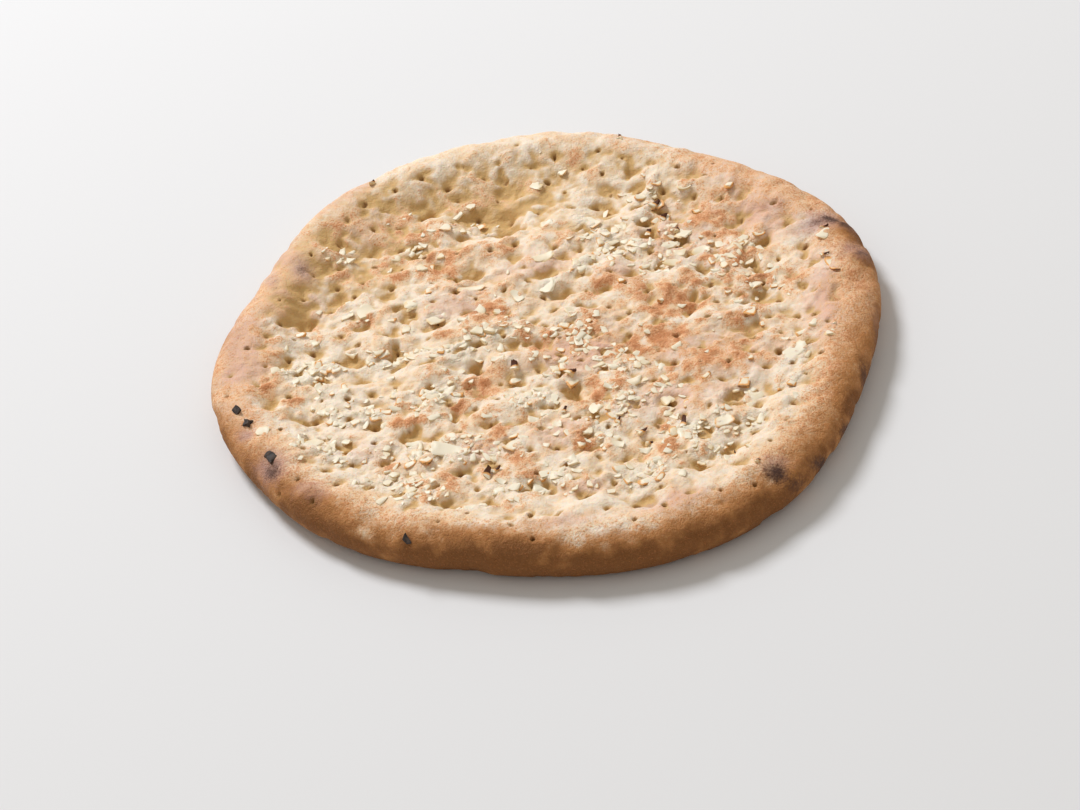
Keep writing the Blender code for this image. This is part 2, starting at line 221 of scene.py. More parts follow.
def drawPoints(rng, count, spacing, margin, taken):  # the solid's rule, for the same draws
    chosen = np.zeros((len(taken) + count, 2))
    found = len(taken)
    if found:
        chosen[:found] = [spot[:2] for spot in taken]
    for _ in range(count * drawTries):
        if found - len(taken) == count:
            break
        radius = loaf["radius"] * math.sqrt(rng.random())
        angle = rng.uniform(-math.pi, math.pi)
        x, y = radius * math.cos(angle), radius * math.sin(angle)
        if inwardOf(x, y) < margin:
            continue
        if found and np.hypot(chosen[:found, 0] - x, chosen[:found, 1] - y).min() < spacing:
            continue
        chosen[found] = (x, y)
        found += 1
    return [tuple(spot) for spot in chosen[len(taken):found]]


dents = {  # x, y of the lowest point, half width, reach to the far side, depth
    "hollows": [
        (-110, 37, 7, 23, 8), (-10, 84, 8, 32, 8), (-22, 97, 8, 18, 4.5), (-45, 105, 4.5, 8, 5.5),
        (-53, 78, 5.5, 8, 5), (-88, 86, 5.5, 15, 5), (-28, 54, 5.5, 18, 6), (-33, 44, 6, 5, 4),
        (-91, 51, 4, 11, 4.5), (-60, 33, 4.5, 7, 4.5), (-81, 29, 3.5, 9, 4), (-48, 20, 5, 7, 4),
        (-91, 6, 5.5, 16, 5.5), (-118, 8, 4.5, 9, 4), (-104, -6, 5.5, 12, 4), (-68, 4, 6, 9, 5),
        (-126, -22, 4.5, 15, 5), (-111, -32, 5, 8, 4.5), (-81, -28, 4.5, 9, 3.5),
        (-33, -15, 4, 7, 4.5), (-33, -33, 6.5, 12, 6.5), (-45, -46, 5, 9, 5.5),
        (-66, -54, 5, 8, 5.5), (-94, -54, 5.5, 7, 4), (-16, -6, 4.5, 7, 5), (-17, -28, 5.5, 11, 5),
        (-55, -105, 5.5, 11, 4.5), (-37, -106, 4.5, 7, 4.5), (-14, -56, 7, 8, 4.5),
        (2, -27, 4.5, 11, 5.5), (8, -45, 5, 12, 6.5), (15, -64, 4, 12, 5), (-4, -7, 5, 7, 4.5),
        (9, 1, 5, 7, 4.5), (70, 8, 4, 8, 5), (67, -2, 5, 11, 5), (97, -4, 4.5, 14, 7),
        (91, -24, 4.5, 11, 4.5), (34, -14, 3.5, 7, 4.5), (22, -33, 4, 8, 4.5), (58, -50, 4.5, 5, 4),
        (54, 106, 4.5, 14, 5.5), (41, 85, 5, 18, 5), (57, 59, 4.5, 15, 5.5), (69, 48, 5, 12, 5.5),
        (3, 42, 5.5, 12, 5), (12, 26, 4, 8, 5.5), (44, 31, 4, 7, 5), (31, 24, 5, 5, 4.5),
        (100, 17, 4.5, 15, 7), (105, 36, 4, 9, 5), (15, 54, 3.5, 8, 4), (75, -71, 5, 12, 5),
        (60, -86, 5, 8, 4.5), (52, -106, 6, 11, 4.5), (9, -84, 4.5, 5, 5), (45, -82, 6, 8, 3.5),
        (4, -113, 5, 8, 4.5), (48, -64, 4.5, 8, 4), (-15, -101, 4.5, 5, 4.5)],
    "seed": 7,
    "count": 260,
    "spacing": 15,
    "margin": 20,
    "width": (3, 5.5),
    "reach": (6, 12),
    "depth": (0.8, 3.0),
    "spread": 0.8,  # how much wider a dent is at its far end
    "lip": 0.7,  # reach to the near side, as a share of the half width
    "point": 1.5,  # power of its sides: 2 is a round bowl, 1 is a sharp fold
    "fall": 1.2,  # power of its long slope: more is steeper beside the lip
    "mapReach": 2.5,  # its part of the maps, in widths or reaches
    "smoothZones": [  # crust without crumbs: u, v, half widths, turn, strength
        (-25, 102, 75, 20, 0, 0.5), (-112, 45, 16, 30, -15, 0.5), (10, -118, 70, 12, 0, 0.4),
        (118, 0, 14, 60, 0, 0.4), (75, 75, 40, 16, -35, 0.3)],
}


def makeDents():
    rng = random.Random(dents["seed"])
    spots = drawPoints(rng, dents["count"], dents["spacing"], dents["margin"], dents["hollows"])
    return dents["hollows"] + [(x, y, rng.uniform(*dents["width"]), rng.uniform(*dents["reach"]),
                                rng.uniform(*dents["depth"])) for x, y in spots]


holes = {
    "rim": [
        (-7, 127), (-16, 122), (-6, 119), (20, 126), (3, 136), (-34, 119), (-30, 112), (65, 105),
        (93, 95), (87, 88), (115, 56), (119, 42), (126, 40), (124, 25), (131, 46), (130, -19),
        (136, -21), (111, -22), (119, -24), (122, -9), (118, -2), (138, -9), (110, -81), (74, -128),
        (59, -128), (59, -136), (46, -127), (22, -137), (-20, -122), (-29, -127), (-21, -137),
        (-58, -118), (-116, -76), (-125, -78), (-110, -90), (-134, 18), (-143, 1), (-145, -12)],
    "seed": 21,  # and one more for how each is bored
    "count": 700,
    "spacing": 11,
    "margin": 19,
    "radius": (1.5, 2.6),
    "depth": (2.5, 4.5),
    "inSolid": 205,  # how many of them the solid has
    "shrink": (0.45, 0.95),  # how small the rest are beside their drawn radius
    "bore": (0.3, 0.8),  # share of its drawn depth that a hole has
    "narrow": 1.9,  # how much narrower its bore is than its drawn radius
    "sides": (0.9, 1.5),  # power of its bore's sides
    "turn": 0.6,
    "stretch": (0.75, 1.3),
    "wobble": 0.18,  # how uneven its edge is
    "wobbleSeed": 5,
    "wobbleSize": 2.4,
    "dimple": (1.0, 3.6),  # how far the crust is drawn down round it
    "dimpleWidth": (0.9, 1.5),  # in drawn radii, as its reach
    "dimpleReach": (2, 4),
    "rimDimple": 0.3,  # share of that depth that it has on the rim
    "spread": 0.8,  # the dimple's form, as in dents
    "lip": 0.45,
    "point": 1.3,
    "fall": 1.5,
    "mapReach": 6,  # its part of the maps, in drawn radii
}


def makeHoles():
    rng = random.Random(holes["seed"])
    inner = drawPoints(rng, holes["count"], holes["spacing"], holes["margin"], holes["rim"])
    onRim, drawn = [[(x, y, rng.uniform(*holes["radius"]), rng.uniform(*holes["depth"]))
                     for x, y in spots] for spots in (holes["rim"], inner)]
    rows = onRim + sorted(drawn, key=lambda hole: -hole[2])
    count = holes["inSolid"]
    finer = [(x, y, radius * rng.uniform(*holes["shrink"]), depth)
             for x, y, radius, depth in rows[count:]]
    return rows[:count] + finer


garlic = {
    "slices": [  # x, y, length, width, heading in degrees, toast
        (-48, 25, 10, 8, 20, 0.3), (-80, 38, 9, 8, 100, 0.2), (-57, 39, 10, 8, 20, 0),
        (30, 76, 11, 8, 120, 0.5), (5, 54, 10, 7, 10, 0.3), (-9, 28, 9, 6, 120, 0.3),
        (5, 32, 9, 6, 60, 0.1), (-30, 42, 13, 4, -10, 0.5), (62, 92, 10, 4, 60, 0.4),
        (56, 86, 6, 5, 0, 0.6), (56, 73, 12, 4, 80, 0.4), (62, 79, 8, 6, 0, 0.9),
        (65, 68, 8, 5, 70, 0.8), (72, 55, 10, 8, 60, 0.3), (63, 47, 9, 7, 0, 0),
        (77, 38, 8, 6, 0, 0), (92, 31, 10, 9, 60, 0), (65, 33, 12, 6, -20, 0.1),
        (98, 78, 10, 4, 60, 0.8), (105, 43, 6, 4, 10, 0.9), (105, -47, 12, 8, 40, 0),
        (122, -41, 8, 5, 80, 0.3), (111, -34, 7, 4, 20, 0.8), (133, 26, 8, 6, 60, 0.2),
        (132, 4, 11, 5, 100, 0.9), (-92, -63, 17, 5, 8, 0.9), (-108, -52, 9, 6, 15, 0.4),
        (-129, -42, 7, 6, 60, 0.2), (-50, -70, 13, 8, -20, 0.1), (-22, -74, 8, 6, 50, 0.4),
        (-60, -75, 6, 6, 45, 0.9), (32, -47, 12, 6, 10, 0.3), (8, -37, 7, 6, 30, 0.9),
        (68, -83, 8, 8, 0, 0.5), (83, -86, 9, 4, 60, 0.4), (95, -65, 10, 4, 80, 0.9),
        (101, -67, 9, 4, 55, 0.8), (31, -112, 10, 5, 0, 0.9), (46, -60, 11, 6, 110, 0.1),
        (-88, 81, 8, 5, 70, 0.1)],
    "thickness": 3.2,  # a slice with the crust drawn up round it
    "sliceThickness": 1.5,  # the bare slice
    "seed": 33,  # the chopped pieces
    "count": 62,
    "spacing": 5.8,
    "margin": 24,
    "length": (4, 7),
    "ratio": (0.55, 0.85),  # width as a share of length
    "flatness": 0.32,  # thickness as a share of length
    "rubble": [  # clusters of fine garlic: x, y, half widths, turn, strength
        (-105, 0, 14, 10, 0, 1), (-70, 1, 16, 5, 0, 0.9), (-20, 5, 14, 6, 0, 1),
        (-38, 1, 7, 6, 0, 0.8), (-53, -32, 13, 8, 0, 1), (-92, -36, 14, 6, 0, 0.8),
        (-108, -53, 10, 8, 0, 1), (-48, -69, 17, 9, 0, 1), (-34, -74, 10, 6, 0, 1),
        (-10, -46, 12, 8, 0, 1), (-68, -94, 13, 7, 0, 0.8), (12, -20, 14, 8, 0, 1),
        (32, -33, 12, 6, 0, 1), (24, -61, 16, 9, 0, 1), (46, -60, 8, 10, 0, 1),
        (52, -82, 10, 7, 0, 1), (60, -100, 12, 6, 0, 0.9), (10, -75, 14, 8, 0, 0.9),
        (42, 53, 14, 12, 0, 1), (35, 66, 12, 8, 0, 0.8), (63, 36, 14, 9, 0, 1),
        (92, 30, 10, 10, 0, 0.9), (62, 50, 10, 9, 0, 0.9), (60, 88, 8, 10, 0, 0.8),
        (105, -47, 9, 7, 0, 0.7), (-80, 38, 8, 8, 0, 0.35), (10, 0, 12, 8, 0, 0.9),
        (-45, -5, 12, 8, 0, 0.8), (100, 8, 12, 8, 0, 0.6), (-85, -62, 12, 6, 0, 0.9),
        (30, -106, 14, 7, 0, 0.8), (75, -66, 9, 7, 0, 0.8), (-75, -85, 14, 9, 0, 0.7),
        (-25, 93, 12, 7, 0, 0.35), (-55, 82, 10, 8, 0, 0.4), (-87, 80, 7, 8, 0, 0.4),
        (-15, -100, 16, 7, 0, 0.8), (25, 45, 10, 7, 0, 0.7), (75, -84, 14, 8, 0, 0.6),
        (-100, -25, 12, 8, 0, 0.6)],
    "fineSeed": 91,
    "fineSpacing": 3.1,
    "fineShift": 0.4,  # how far a piece strays from its grid, in spacings
    "fineReach": 160,
    "fineMargin": 18,
    "fineLength": (3, 7),
    "fineShorter": (0.75, 1),
    "fineRatio": (0.45, 0.95),
    "fineFlatness": (0.18, 0.32),
    "clumps": (0.35, 7),  # how uneven the clusters are, and the size of their clumps
    "chance": (0.02, 0.92),  # of a piece, outside the clusters and where they are densest
    "holeGap": 0.3,  # crust between a hole and a fine piece
    "chipGap": 0.55,  # share of a larger piece's width that stays clear round it
    "ownGap": 0.25,  # and of the fine piece's length
}

charred = {
    "bits": [  # x, y, length, width, heading in degrees
        (-140, -24, 4.5, 3.5, 120), (-136, -34, 4, 3.5, 70), (-126, -59, 6, 4.5, 120),
        (-72, -122, 4.5, 2.5, 110)],
    "tips": [  # burnt ends of garlic that stick up
        (-69, 127, 3.5, 2.5, 60), (52, 127, 5.5, 3, 80), (62, 79, 5.5, 3.5, 40),
        (64, 68, 5, 3.2, 60), (125, -36, 4.5, 3, 90), (33, -80, 5, 3.2, 35), (51, -79, 5.5, 3, 75),
        (-35, -89, 5.5, 3.5, 60)],
    "fineTips": [  # more of them, which the solid leaves out
        (56, 62, 4.5, 2.8, 60), (69, 56, 4, 2.6, 60), (8, -33, 5, 3.5, 30), (35, -87, 4, 2.5, 20),
        (69, -103, 4, 2, 80), (77, -115, 3.5, 2.5, 60), (134, 31, 4, 2.5, 20), (-16, -21, 5, 4, 80),
        (-31, -88, 4, 2, 30), (130, 12, 4.5, 1.8, 0), (2, -57, 3.5, 2.2, 60),
        (24, -71, 3.5, 2.2, 60)],
    "thickness": 3,
}

colours = {  # blots on the unrolled loaf: u, v, half widths, turn in degrees, strength
    "toast": [
        (-42, 64, 9, 14, -20, 0.75), (-24, 22, 9, 10, 0, 1.0), (-44, 10, 5, 5, 0, 0.7),
        (-62, 62, 4, 4, 0, 0.8), (-72, 6, 8, 6, 0, 0.5), (-58, 95, 8, 10, 0, 0.55),
        (-12, 67, 10, 6, 0, 0.45), (16, 72, 8, 9, 0, 0.65), (-90, 98, 8, 12, -50, 0.5),
        (-105, 24, 6, 5, 0, 0.35), (-22, 112, 16, 6, 0, 0.3), (-85, 67, 5, 5, 0, 0.5),
        (86, 63, 12, 15, 30, 0.6), (93, 47, 8, 8, 0, 0.65), (32, 25, 12, 6, 0, 0.6),
        (60, 3, 13, 6, 0, 1.15), (46, 15, 8, 7, 0, 0.7), (66, 14, 14, 8, 0, 0.55),
        (80, 29, 6, 5, 0, 0.65), (20, 4, 8, 6, 0, 0.5), (92, 24, 4, 4, 0, 0.8),
        (112, 5, 6, 12, -30, 0.5), (-33, -28, 9, 8, 0, 0.9), (-45, -43, 6, 5, 0, 0.8),
        (-67, -43, 10, 7, 0, 0.75), (-52, -12, 5, 7, 0, 0.55), (-76, -71, 4, 4, 0, 0.7),
        (-57, -94, 14, 8, 0, 0.6), (-35, -60, 12, 10, 0, 0.6), (-20, -88, 13, 8, 0, 0.5),
        (-14, -55, 9, 6, 0, 0.5), (-3, -5, 7, 8, 0, 0.8), (-116, -20, 8, 9, 0, 0.45),
        (-26, -115, 4, 4, 0, 0.6), (48, -20, 16, 8, 15, 1.1), (66, -40, 24, 9, 20, 0.8),
        (88, -16, 10, 10, 0, 0.65), (76, -45, 8, 8, 0, 0.6), (18, -48, 12, 7, 20, 0.85),
        (18, -8, 10, 7, 0, 0.75), (10, -81, 7, 6, 0, 0.8), (43, -77, 6, 5, 0, 0.8),
        (40, -94, 15, 7, 0, 0.7), (5, -103, 6, 4, 0, 0.5), (118, -62, 11, 22, -25, 0.5),
        (90, 8, 12, 10, 0, 0.5), (63, -57, 5, 5, 0, 0.6), (78, -8, 8, 5, 0, 0.6),
        (-128, 22, 7, 14, 0, 0.45), (-127, -10, 7, 9, 0, 0.75), (30, 120, 6, 4, 0, 0.6),
        (75, -92, 8, 5, 0, 0.35), (100, -30, 14, 12, 0, 0.3), (-85, 30, 14, 8, 0, 0.45),
        (94, 30, 10, 8, 0, 0.45), (80, 50, 10, 8, 0, 0.4), (-68, 70, 14, 8, 0, 0.45),
        (-52, 90, 18, 8, 0, 0.45)],
    "brown": [
        (147, 9, 8, 9, 0, 0.6), (146, 28, 10, 15, 0, 0.75), (-143, 28, 9, 22, 0, 0.3),
        (150, -40, 8, 14, 0, 0.3), (128, -84, 8, 12, 30, 0.3), (-98, -98, 9, 5, -30, 0.3),
        (-110, -96, 9, 7, -40, 0.7)],
    "pale": [
        (-78, -6, 40, 42, 0, 1.0), (-78, -110, 36, 14, -20, 1.5), (10, -118, 40, 8, 0, 0.7),
        (30, 78, 26, 16, 0, 1.0), (96, -80, 24, 12, 45, 0.7), (-55, -55, 24, 14, 0, 0.8),
        (0, 5, 14, 12, 0, 0.4), (2, -50, 16, 12, 0, 1.0), (-10, 90, 20, 10, 0, 1.2),
        (84, -10, 20, 12, 0, 0.9), (20, -100, 26, 12, 0, 1.0), (60, -92, 18, 12, 0, 0.8),
        (60, -50, 14, 12, 0, 0.6), (-100, -70, 16, 12, 0, 0.8), (-52, -102, 24, 10, 0, 0.8),
        (-40, -8, 12, 8, 0, 0.9)],
    "rose": [
        (68, -36, 36, 22, -20, 0.65), (14, -16, 24, 18, 0, 0.85), (50, -60, 26, 14, 0, 0.7),
        (-88, -62, 18, 12, 0, 0.5), (6, -108, 14, 7, 0, 0.6), (84, -12, 14, 10, 0, 0.6),
        (114, 60, 20, 28, 40, 0.8), (-116, 58, 18, 30, -20, 0.8), (-82, 98, 30, 18, 35, 0.4),
        (-140, -34, 12, 26, 15, 0.9), (-38, 32, 18, 14, 0, 0.6), (0, 50, 18, 12, 0, 0.6),
        (-142, 24, 18, 50, 0, 1.1), (-125, 85, 16, 38, 35, 0.9), (-88, 122, 30, 12, 35, 0.6),
        (130, -28, 16, 45, 0, 1.0), (105, 85, 45, 14, -45, 0.7), (60, 125, 30, 12, -20, 0.35),
        (-110, -88, 16, 8, -30, 0.5), (70, 55, 26, 24, 0, 0.6), (38, 32, 14, 12, 0, 0.6),
        (84, 32, 14, 14, 0, 0.6), (138, 34, 12, 18, 0, 0.8), (-36, -70, 16, 12, 0, 0.6),
        (0, -70, 16, 12, 0, 0.6), (42, -130, 18, 8, 0, 0.8), (-8, -131, 22, 6, 0, 0.6)],
    "char": [
        (132, 36, 6, 4, -10, 0.7), (138, 37, 7, 4, -20, 1.0), (144, 33, 6, 4.5, -50, 0.85),
        (128, 31, 3, 6, 0, 0.4), (148, 25, 4, 6, 0, 0.45), (146, 16, 6, 5, 20, 0.5),
        (147, 10, 6, 3.5, 20, 0.7), (151, 8, 5, 5, 0, 0.35), (84, -123, 8, 6, -30, 0.95),
        (93, -128, 9, 6, 20, 0.65), (109, -117, 11, 5, 0, 0.9), (125, -97, 10, 5, 30, 0.85),
        (136, -68, 6, 10, 20, 0.75), (138, -60, 5, 4, 0, 0.5), (-127, -67, 6, 6, 0, 0.8),
        (-107, 69, 3.5, 4, 0, 0.65), (-120, 57, 4, 3, 0, 0.5), (-86, -117, 5, 3, 0, 0.4),
        (-54, -128, 5, 3, 0, 0.3), (160, 32, 4, 8, 0, 0.4)],
    "mauve": [
        (-135, 65, 6, 14, 20, 0.7), (-122, 66, 5, 10, 20, 0.7), (-115, 90, 8, 20, -40, 0.5),
        (-140, 30, 10, 30, 0, 0.5), (-107, 70, 7, 8, 0, 0.8), (-137, -41, 6, 5, 0, 0.8),
        (-127, -64, 12, 11, 0, 0.9), (-110, -84, 14, 7, -30, 0.6), (29, -127, 6, 4, 0, 0.7),
        (133, 37, 15, 10, 20, 0.9), (145, 12, 11, 9, 0, 0.7), (-30, 25, 6, 7, 0, 0.6),
        (88, 66, 6, 6, 0, 0.4), (115, 55, 5, 5, 0, 0.5), (84, -118, 10, 6, 0, 0.6),
        (-82, 120, 30, 8, 40, 0.35), (146, -30, 9, 28, 0, 0.35), (146, 32, 8, 14, 0, 0.3),
        (-134, -62, 9, 26, 25, 0.35)],
}

backSlopeShade = [  # the far slope of the middle, painted with shade as if it turned from the light: rows as above
    (-25, 112, 85, 18, 0, 0.75), (-94, 78, 24, 42, 35, 0.8), (66, 62, 26, 22, 0, 0.3),
    (-62, 92, 18, 14, 0, 0.9), (2, 108, 22, 16, 0, 1.0), (-114, 54, 13, 26, -10, 0.8),
    (14, 92, 22, 10, 0, 0.5), (24, 74, 20, 12, 0, 0.45), (62, 88, 14, 12, 0, 0.5)]

rimBakeAndShade = {  # angle in degrees: climb up to which it is browned, how brown, how toasted its crest; the browning also holds painted shade, darker on the side turned from the light
    -180: (9, 0.45, 0.4), -165: (16, 0.72, 0.5), -150: (19, 0.85, 0.55), -130: (21, 1.0, 0.5),
    -118: (22, 1.05, 0.45), -110: (19, 1.2, 0.4), -102: (21, 1.0, 0.4), -90: (16.5, 0.97, 0.25),
    -82: (17.5, 0.95, 0.3), -70: (19.5, 0.92, 0.45), -60: (19.5, 0.85, 0.5),
    -50: (19.5, 0.78, 0.6), -40: (19.5, 0.68, 0.65), -30: (20, 0.8, 0.65),
    -20: (19.5, 0.7, 0.65), -10: (19, 0.52, 0.65), 0: (16, 0.42, 0.65), 10: (17, 0.46, 0.65),
    20: (11, 0.4, 0.6), 40: (9, 0.35, 0.55), 70: (2, 0.1, 0.25), 90: (0, 0.0, 0.0),
    120: (0, 0.0, 0.15), 150: (4, 0.25, 0.35), 180: (9, 0.45, 0.4),
}

# Shader expressions.


class Wire:  # one socket in a material's tree, with arithmetic
    def __init__(self, tree, socket=None):
        self.tree = tree
        self.socket = socket

    def make(self, kind, settings=None, inputs=None, output=0):
        node = self.tree.nodes.new("ShaderNode" + kind)
        for name, value in (settings or {}).items():
            setattr(node, name, value)
        for name, value in (inputs or {}).items():
            if isinstance(value, Wire):
                self.tree.links.new(value.socket, node.inputs[name])
            else:
                node.inputs[name].default_value = value
        return Wire(self.tree, node.outputs[output])

    def calc(self, operation, first, second=0.0, clamp=False):
        return self.make("Math", {"operation": operation, "use_clamp": clamp}, {0: first, 1: second})

    def __add__(self, other):
        return self.calc("ADD", self, other)

    def __sub__(self, other):
        return self.calc("SUBTRACT", self, other)

    def __rsub__(self, other):
        return self.calc("SUBTRACT", other, self)

    def __mul__(self, other):
        return self.calc("MULTIPLY", self, other)

    __radd__ = __add__
    __rmul__ = __mul__

    def clip(self):
        return self.calc("ADD", self, 0.0, True)

    def ease(self, low, high):
        settings = {"interpolation_type": "SMOOTHSTEP"}
        return self.make("MapRange", settings, {"Value": self, "From Min": low, "From Max": high})

    def blend(self, under, over):  # this wire is the share of the second colour
        settings = {"data_type": "RGBA", "blend_type": "MIX", "clamp_factor": True}
        return self.make("Mix", settings, {0: self, 6: under, 7: over}, 2)


def tone(red, green, blue):  # a screen colour, 0 to 255, as Blender's linear colour
    parts = [value / 255 for value in (red, green, blue)]
    return (*[part / 12.92 if part < 0.04 else ((part + 0.055) / 1.055) ** 2.4 for part in parts], 1.0)


def newMaterial(name):
    material = bpy.data.materials.new(name)
    material.use_nodes = True
    shader = material.node_tree.nodes["Principled BSDF"]
    return material, shader, Wire(material.node_tree)


def feed(shader, name, wire):
    wire.tree.links.new(wire.socket, shader.inputs[name])


def noiseOn(place, scale, detail, rough=0.5):  # from -0.5 to 0.5
    inputs = {"Vector": place, "Scale": scale, "Detail": detail, "Roughness": rough}
    return place.make("TexNoise", {}, inputs) - 0.5


def mask(tree, name):
    return tree.make("Attribute", {"attribute_name": name}, output=2)


def bumps(height, strength, distance):
    inputs = {"Strength": strength, "Distance": distance * mm, "Height": height}
    return height.make("Bump", {}, inputs)


def setSheen(shader, look):  # light passes a little way into dough and garlic
    shader.inputs["Specular IOR Level"].default_value = look["shine"]
    shader.inputs["Subsurface Weight"].default_value = look["scatter"]
    shader.inputs["Subsurface Radius"].default_value = look["scatterColour"]
    shader.inputs["Subsurface Scale"].default_value = look["scatterDepth"] * mm


crustLooks = {
    "cream": tone(238, 223, 202),
    "dough": tone(236, 207, 171),
    "straw": tone(234, 197, 155),
    "paste": tone(238, 227, 206),
    "toast": tone(224, 165, 119),
    "toastDark": tone(190, 122, 74),
    "rose": tone(216, 168, 144),
    "brown": tone(190, 131, 76),
    # partly painted shade: the darkest brown, on the rim's side turned from the light
    "brownDark": tone(114, 69, 28),
    "char": tone(82, 56, 46),
    "mauve": tone(186, 150, 142),
    # painted shade: golden colour for dents, holes and low places, as if they were in shade
    "hollow": tone(206, 168, 110),
    # painted shade: dark colour deep in the docking holes
    "hole": tone(150, 106, 58),
    "roughness": 0.66,
    "noise": (60, 190, 480),  # scales of its broad, middle and fine mottling
    "grain": (1100, 2300),
    "crumbs": 420,
    "bump": 0.8,
    "bumpDistance": 0.8,
    "shine": 0.25,
    "scatter": 0.15,
    "scatterColour": (1.0, 0.5, 0.22),
    "scatterDepth": 1.2,
}


def crustMaterial():
    look = crustLooks
    material, shader, tree = newMaterial("bakedCrust")
    place = tree.make("TexCoord", output=3)
    toast, brown, char, mauve = [mask(tree, name) for name in ("toast", "brown", "char", "mauve")]
    rose, hollow, paste, hole = [mask(tree, name) for name in ("rose", "hollow", "paste", "hole")]
    broad, middle, fine = [noiseOn(place, scale, 3.0, 0.55) for scale in look["noise"]]
    grain, grit = [noiseOn(place, scale, detail, 0.55)
                   for scale, detail in zip(look["grain"], (2.0, 1.0))]
    spots = middle * 0.5 + fine * 0.9 + grain * 1.1 + grit * 0.5
    baked = (toast + brown).clip()

    doughy = (broad * 1.4 + middle * 1.4 + fine * 0.8 + toast * 0.5).ease(-0.35, 0.5)
    colour = doughy.blend(look["cream"], look["dough"])
    layers = [  # look, reading, where it starts and is full, and the most that it covers
        ("paste", paste + fine * 0.9, 0.2, 0.8, 0.8),
        ("rose", rose + broad * 0.8 + middle * 0.5, 0.0, 0.9, 0.85),
        # painted shade in dents, holes, the far slope and fine lows
        ("hollow", hollow + middle * 0.3 + fine * 0.2, 0.05, 1.0, 1.0),
        ("straw", toast + broad * 0.5 + spots * 0.5, 0.1, 0.7, 1.0),
        ("toast", toast + spots * 1.2, 0.27, 0.87, 1.0),
        ("toastDark", toast + spots * 1.6, 0.6, 1.35, 0.75),
        # the brown layers carry the rim's browning and its painted shade
        ("brown", brown + broad * 0.3 + spots * 0.25, 0.05, 0.85, 1.0),
        ("brownDark", brown + broad * 1.1 + spots * 0.4, 0.55, 1.25, 0.8),
        ("mauve", mauve + middle * 0.6 + grain * 0.5, 0.15, 0.95, 0.7),
    ]
    for name, reading, start, full, most in layers:
        colour = (reading.ease(start, full) * most).blend(colour, look[name])
    freckles = (baked + 0.25) * (grain + grit * 0.8).ease(0.04, 0.3) * 0.45
    colour = freckles.blend(colour, look["toastDark"])
    # painted shade deep in the holes
    colour = hole.blend(colour, look["hole"])
    colour = (char + spots * 0.5).ease(0.25, 1.0).blend(colour, look["char"])
    feed(shader, "Base Color", colour)
    feed(shader, "Roughness", look["roughness"] + fine * 0.25 + baked * 0.08)

    cells = tree.make("TexVoronoi", {}, {"Vector": place, "Scale": look["crumbs"]}, 1)
    crumbs = (paste + fine).ease(0.35, 0.7) * cells
    floury = grain * (0.5 + baked * 0.6) + grit * (0.15 + baked * 0.4)
    height = fine * 0.8 + floury + crumbs * 0.5
    feed(shader, "Normal", bumps(height, look["bump"], look["bumpDistance"]))
    setSheen(shader, look)
    return material


garlicLooks = {
    "milky": tone(238, 228, 204),
    "foot": tone(229, 203, 156),  # painted shade: warmer and darker toward the bottom of a piece, where it sinks into the dough
    "golden": tone(226, 166, 98),
    "burnt": tone(86, 50, 32),
    "roughness": 0.38,
    "noise": (380, 1300),
    "bump": 0.4,
    "bumpDistance": 0.2,
    "shine": 0.25,
    "scatter": 0.2,
    "scatterColour": (1.0, 0.9, 0.7),
    "scatterDepth": 0.5,
}


def garlicMaterial():
    look = garlicLooks
    material, shader, tree = newMaterial("bakedGarlic")
    place = tree.make("TexCoord", output=3)
    fine, grain = [noiseOn(place, *row) for row in zip(look["noise"], (3.0, 2.0))]
    shade, toasted = mask(tree, "shade"), mask(tree, "toast")
    # each piece's own tone, plus painted shade toward its foot, turns it from milky to the foot colour
    colour = (shade + fine * 0.6).ease(0.2, 1.3).blend(look["milky"], look["foot"])
    colour = (toasted + fine * 0.5).ease(0.25, 0.6).blend(colour, look["golden"])
    colour = (toasted + fine * 0.6).ease(0.7, 1.05).blend(colour, look["burnt"])
    feed(shader, "Base Color", colour)
    feed(shader, "Roughness", look["roughness"] + toasted * 0.25 + grain * 0.2)
    feed(shader, "Normal", bumps(fine + grain * 0.4, look["bump"], look["bumpDistance"]))
    setSheen(shader, look)
    return material


charLooks = {
    "coal": tone(38, 29, 25),
    "ash": tone(84, 66, 54),
    "roughness": 0.7,
    "noise": 700,
    "bump": 0.8,
    "bumpDistance": 0.5,
}


def charMaterial():
    look = charLooks
    material, shader, tree = newMaterial("charcoal")
    fine = noiseOn(tree.make("TexCoord", output=3), look["noise"], 4.0)
    feed(shader, "Base Color", fine.ease(-0.15, 0.25).blend(look["coal"], look["ash"]))
    feed(shader, "Roughness", look["roughness"] + fine * 0.4)
    feed(shader, "Normal", bumps(fine, look["bump"], look["bumpDistance"]))
    return material


# Relief and colour maps of the whole loaf.


def wedge(dx, dy, wide, reach, form):  # a long slope to a steep near lip, 1 at its lowest
    share = np.clip(dy / reach, 0, 1)
    across = np.abs(dx) / (wide * (1 + form["spread"] * share))
    toward = np.minimum(dy, 0) / (wide * form["lip"])
    return (1 - share) ** form["fall"] * np.exp(-across ** form["point"] - toward * toward)


ragged = {"shift": 0.9, "size": 5, "seeds": (17, 18)}  # how dents and dimples are pulled awry
pulls = [ragged["shift"] * lumps(seed, ragged["size"]) for seed in ragged["seeds"]]


def awry(part, dx, dy):
    return dx + pulls[0][part], dy + pulls[1][part]


def pressedMap(dentRows):  # how deep fingers pressed each place
    field = np.zeros(gridX.shape)
    for x, y, wide, reach, depth in dentRows:
        part, dx, dy = patch(x, y, dents["mapReach"] * max(wide, reach))
        field[part] += depth * wedge(*awry(part, dx, dy), wide, reach, dents)
    return field


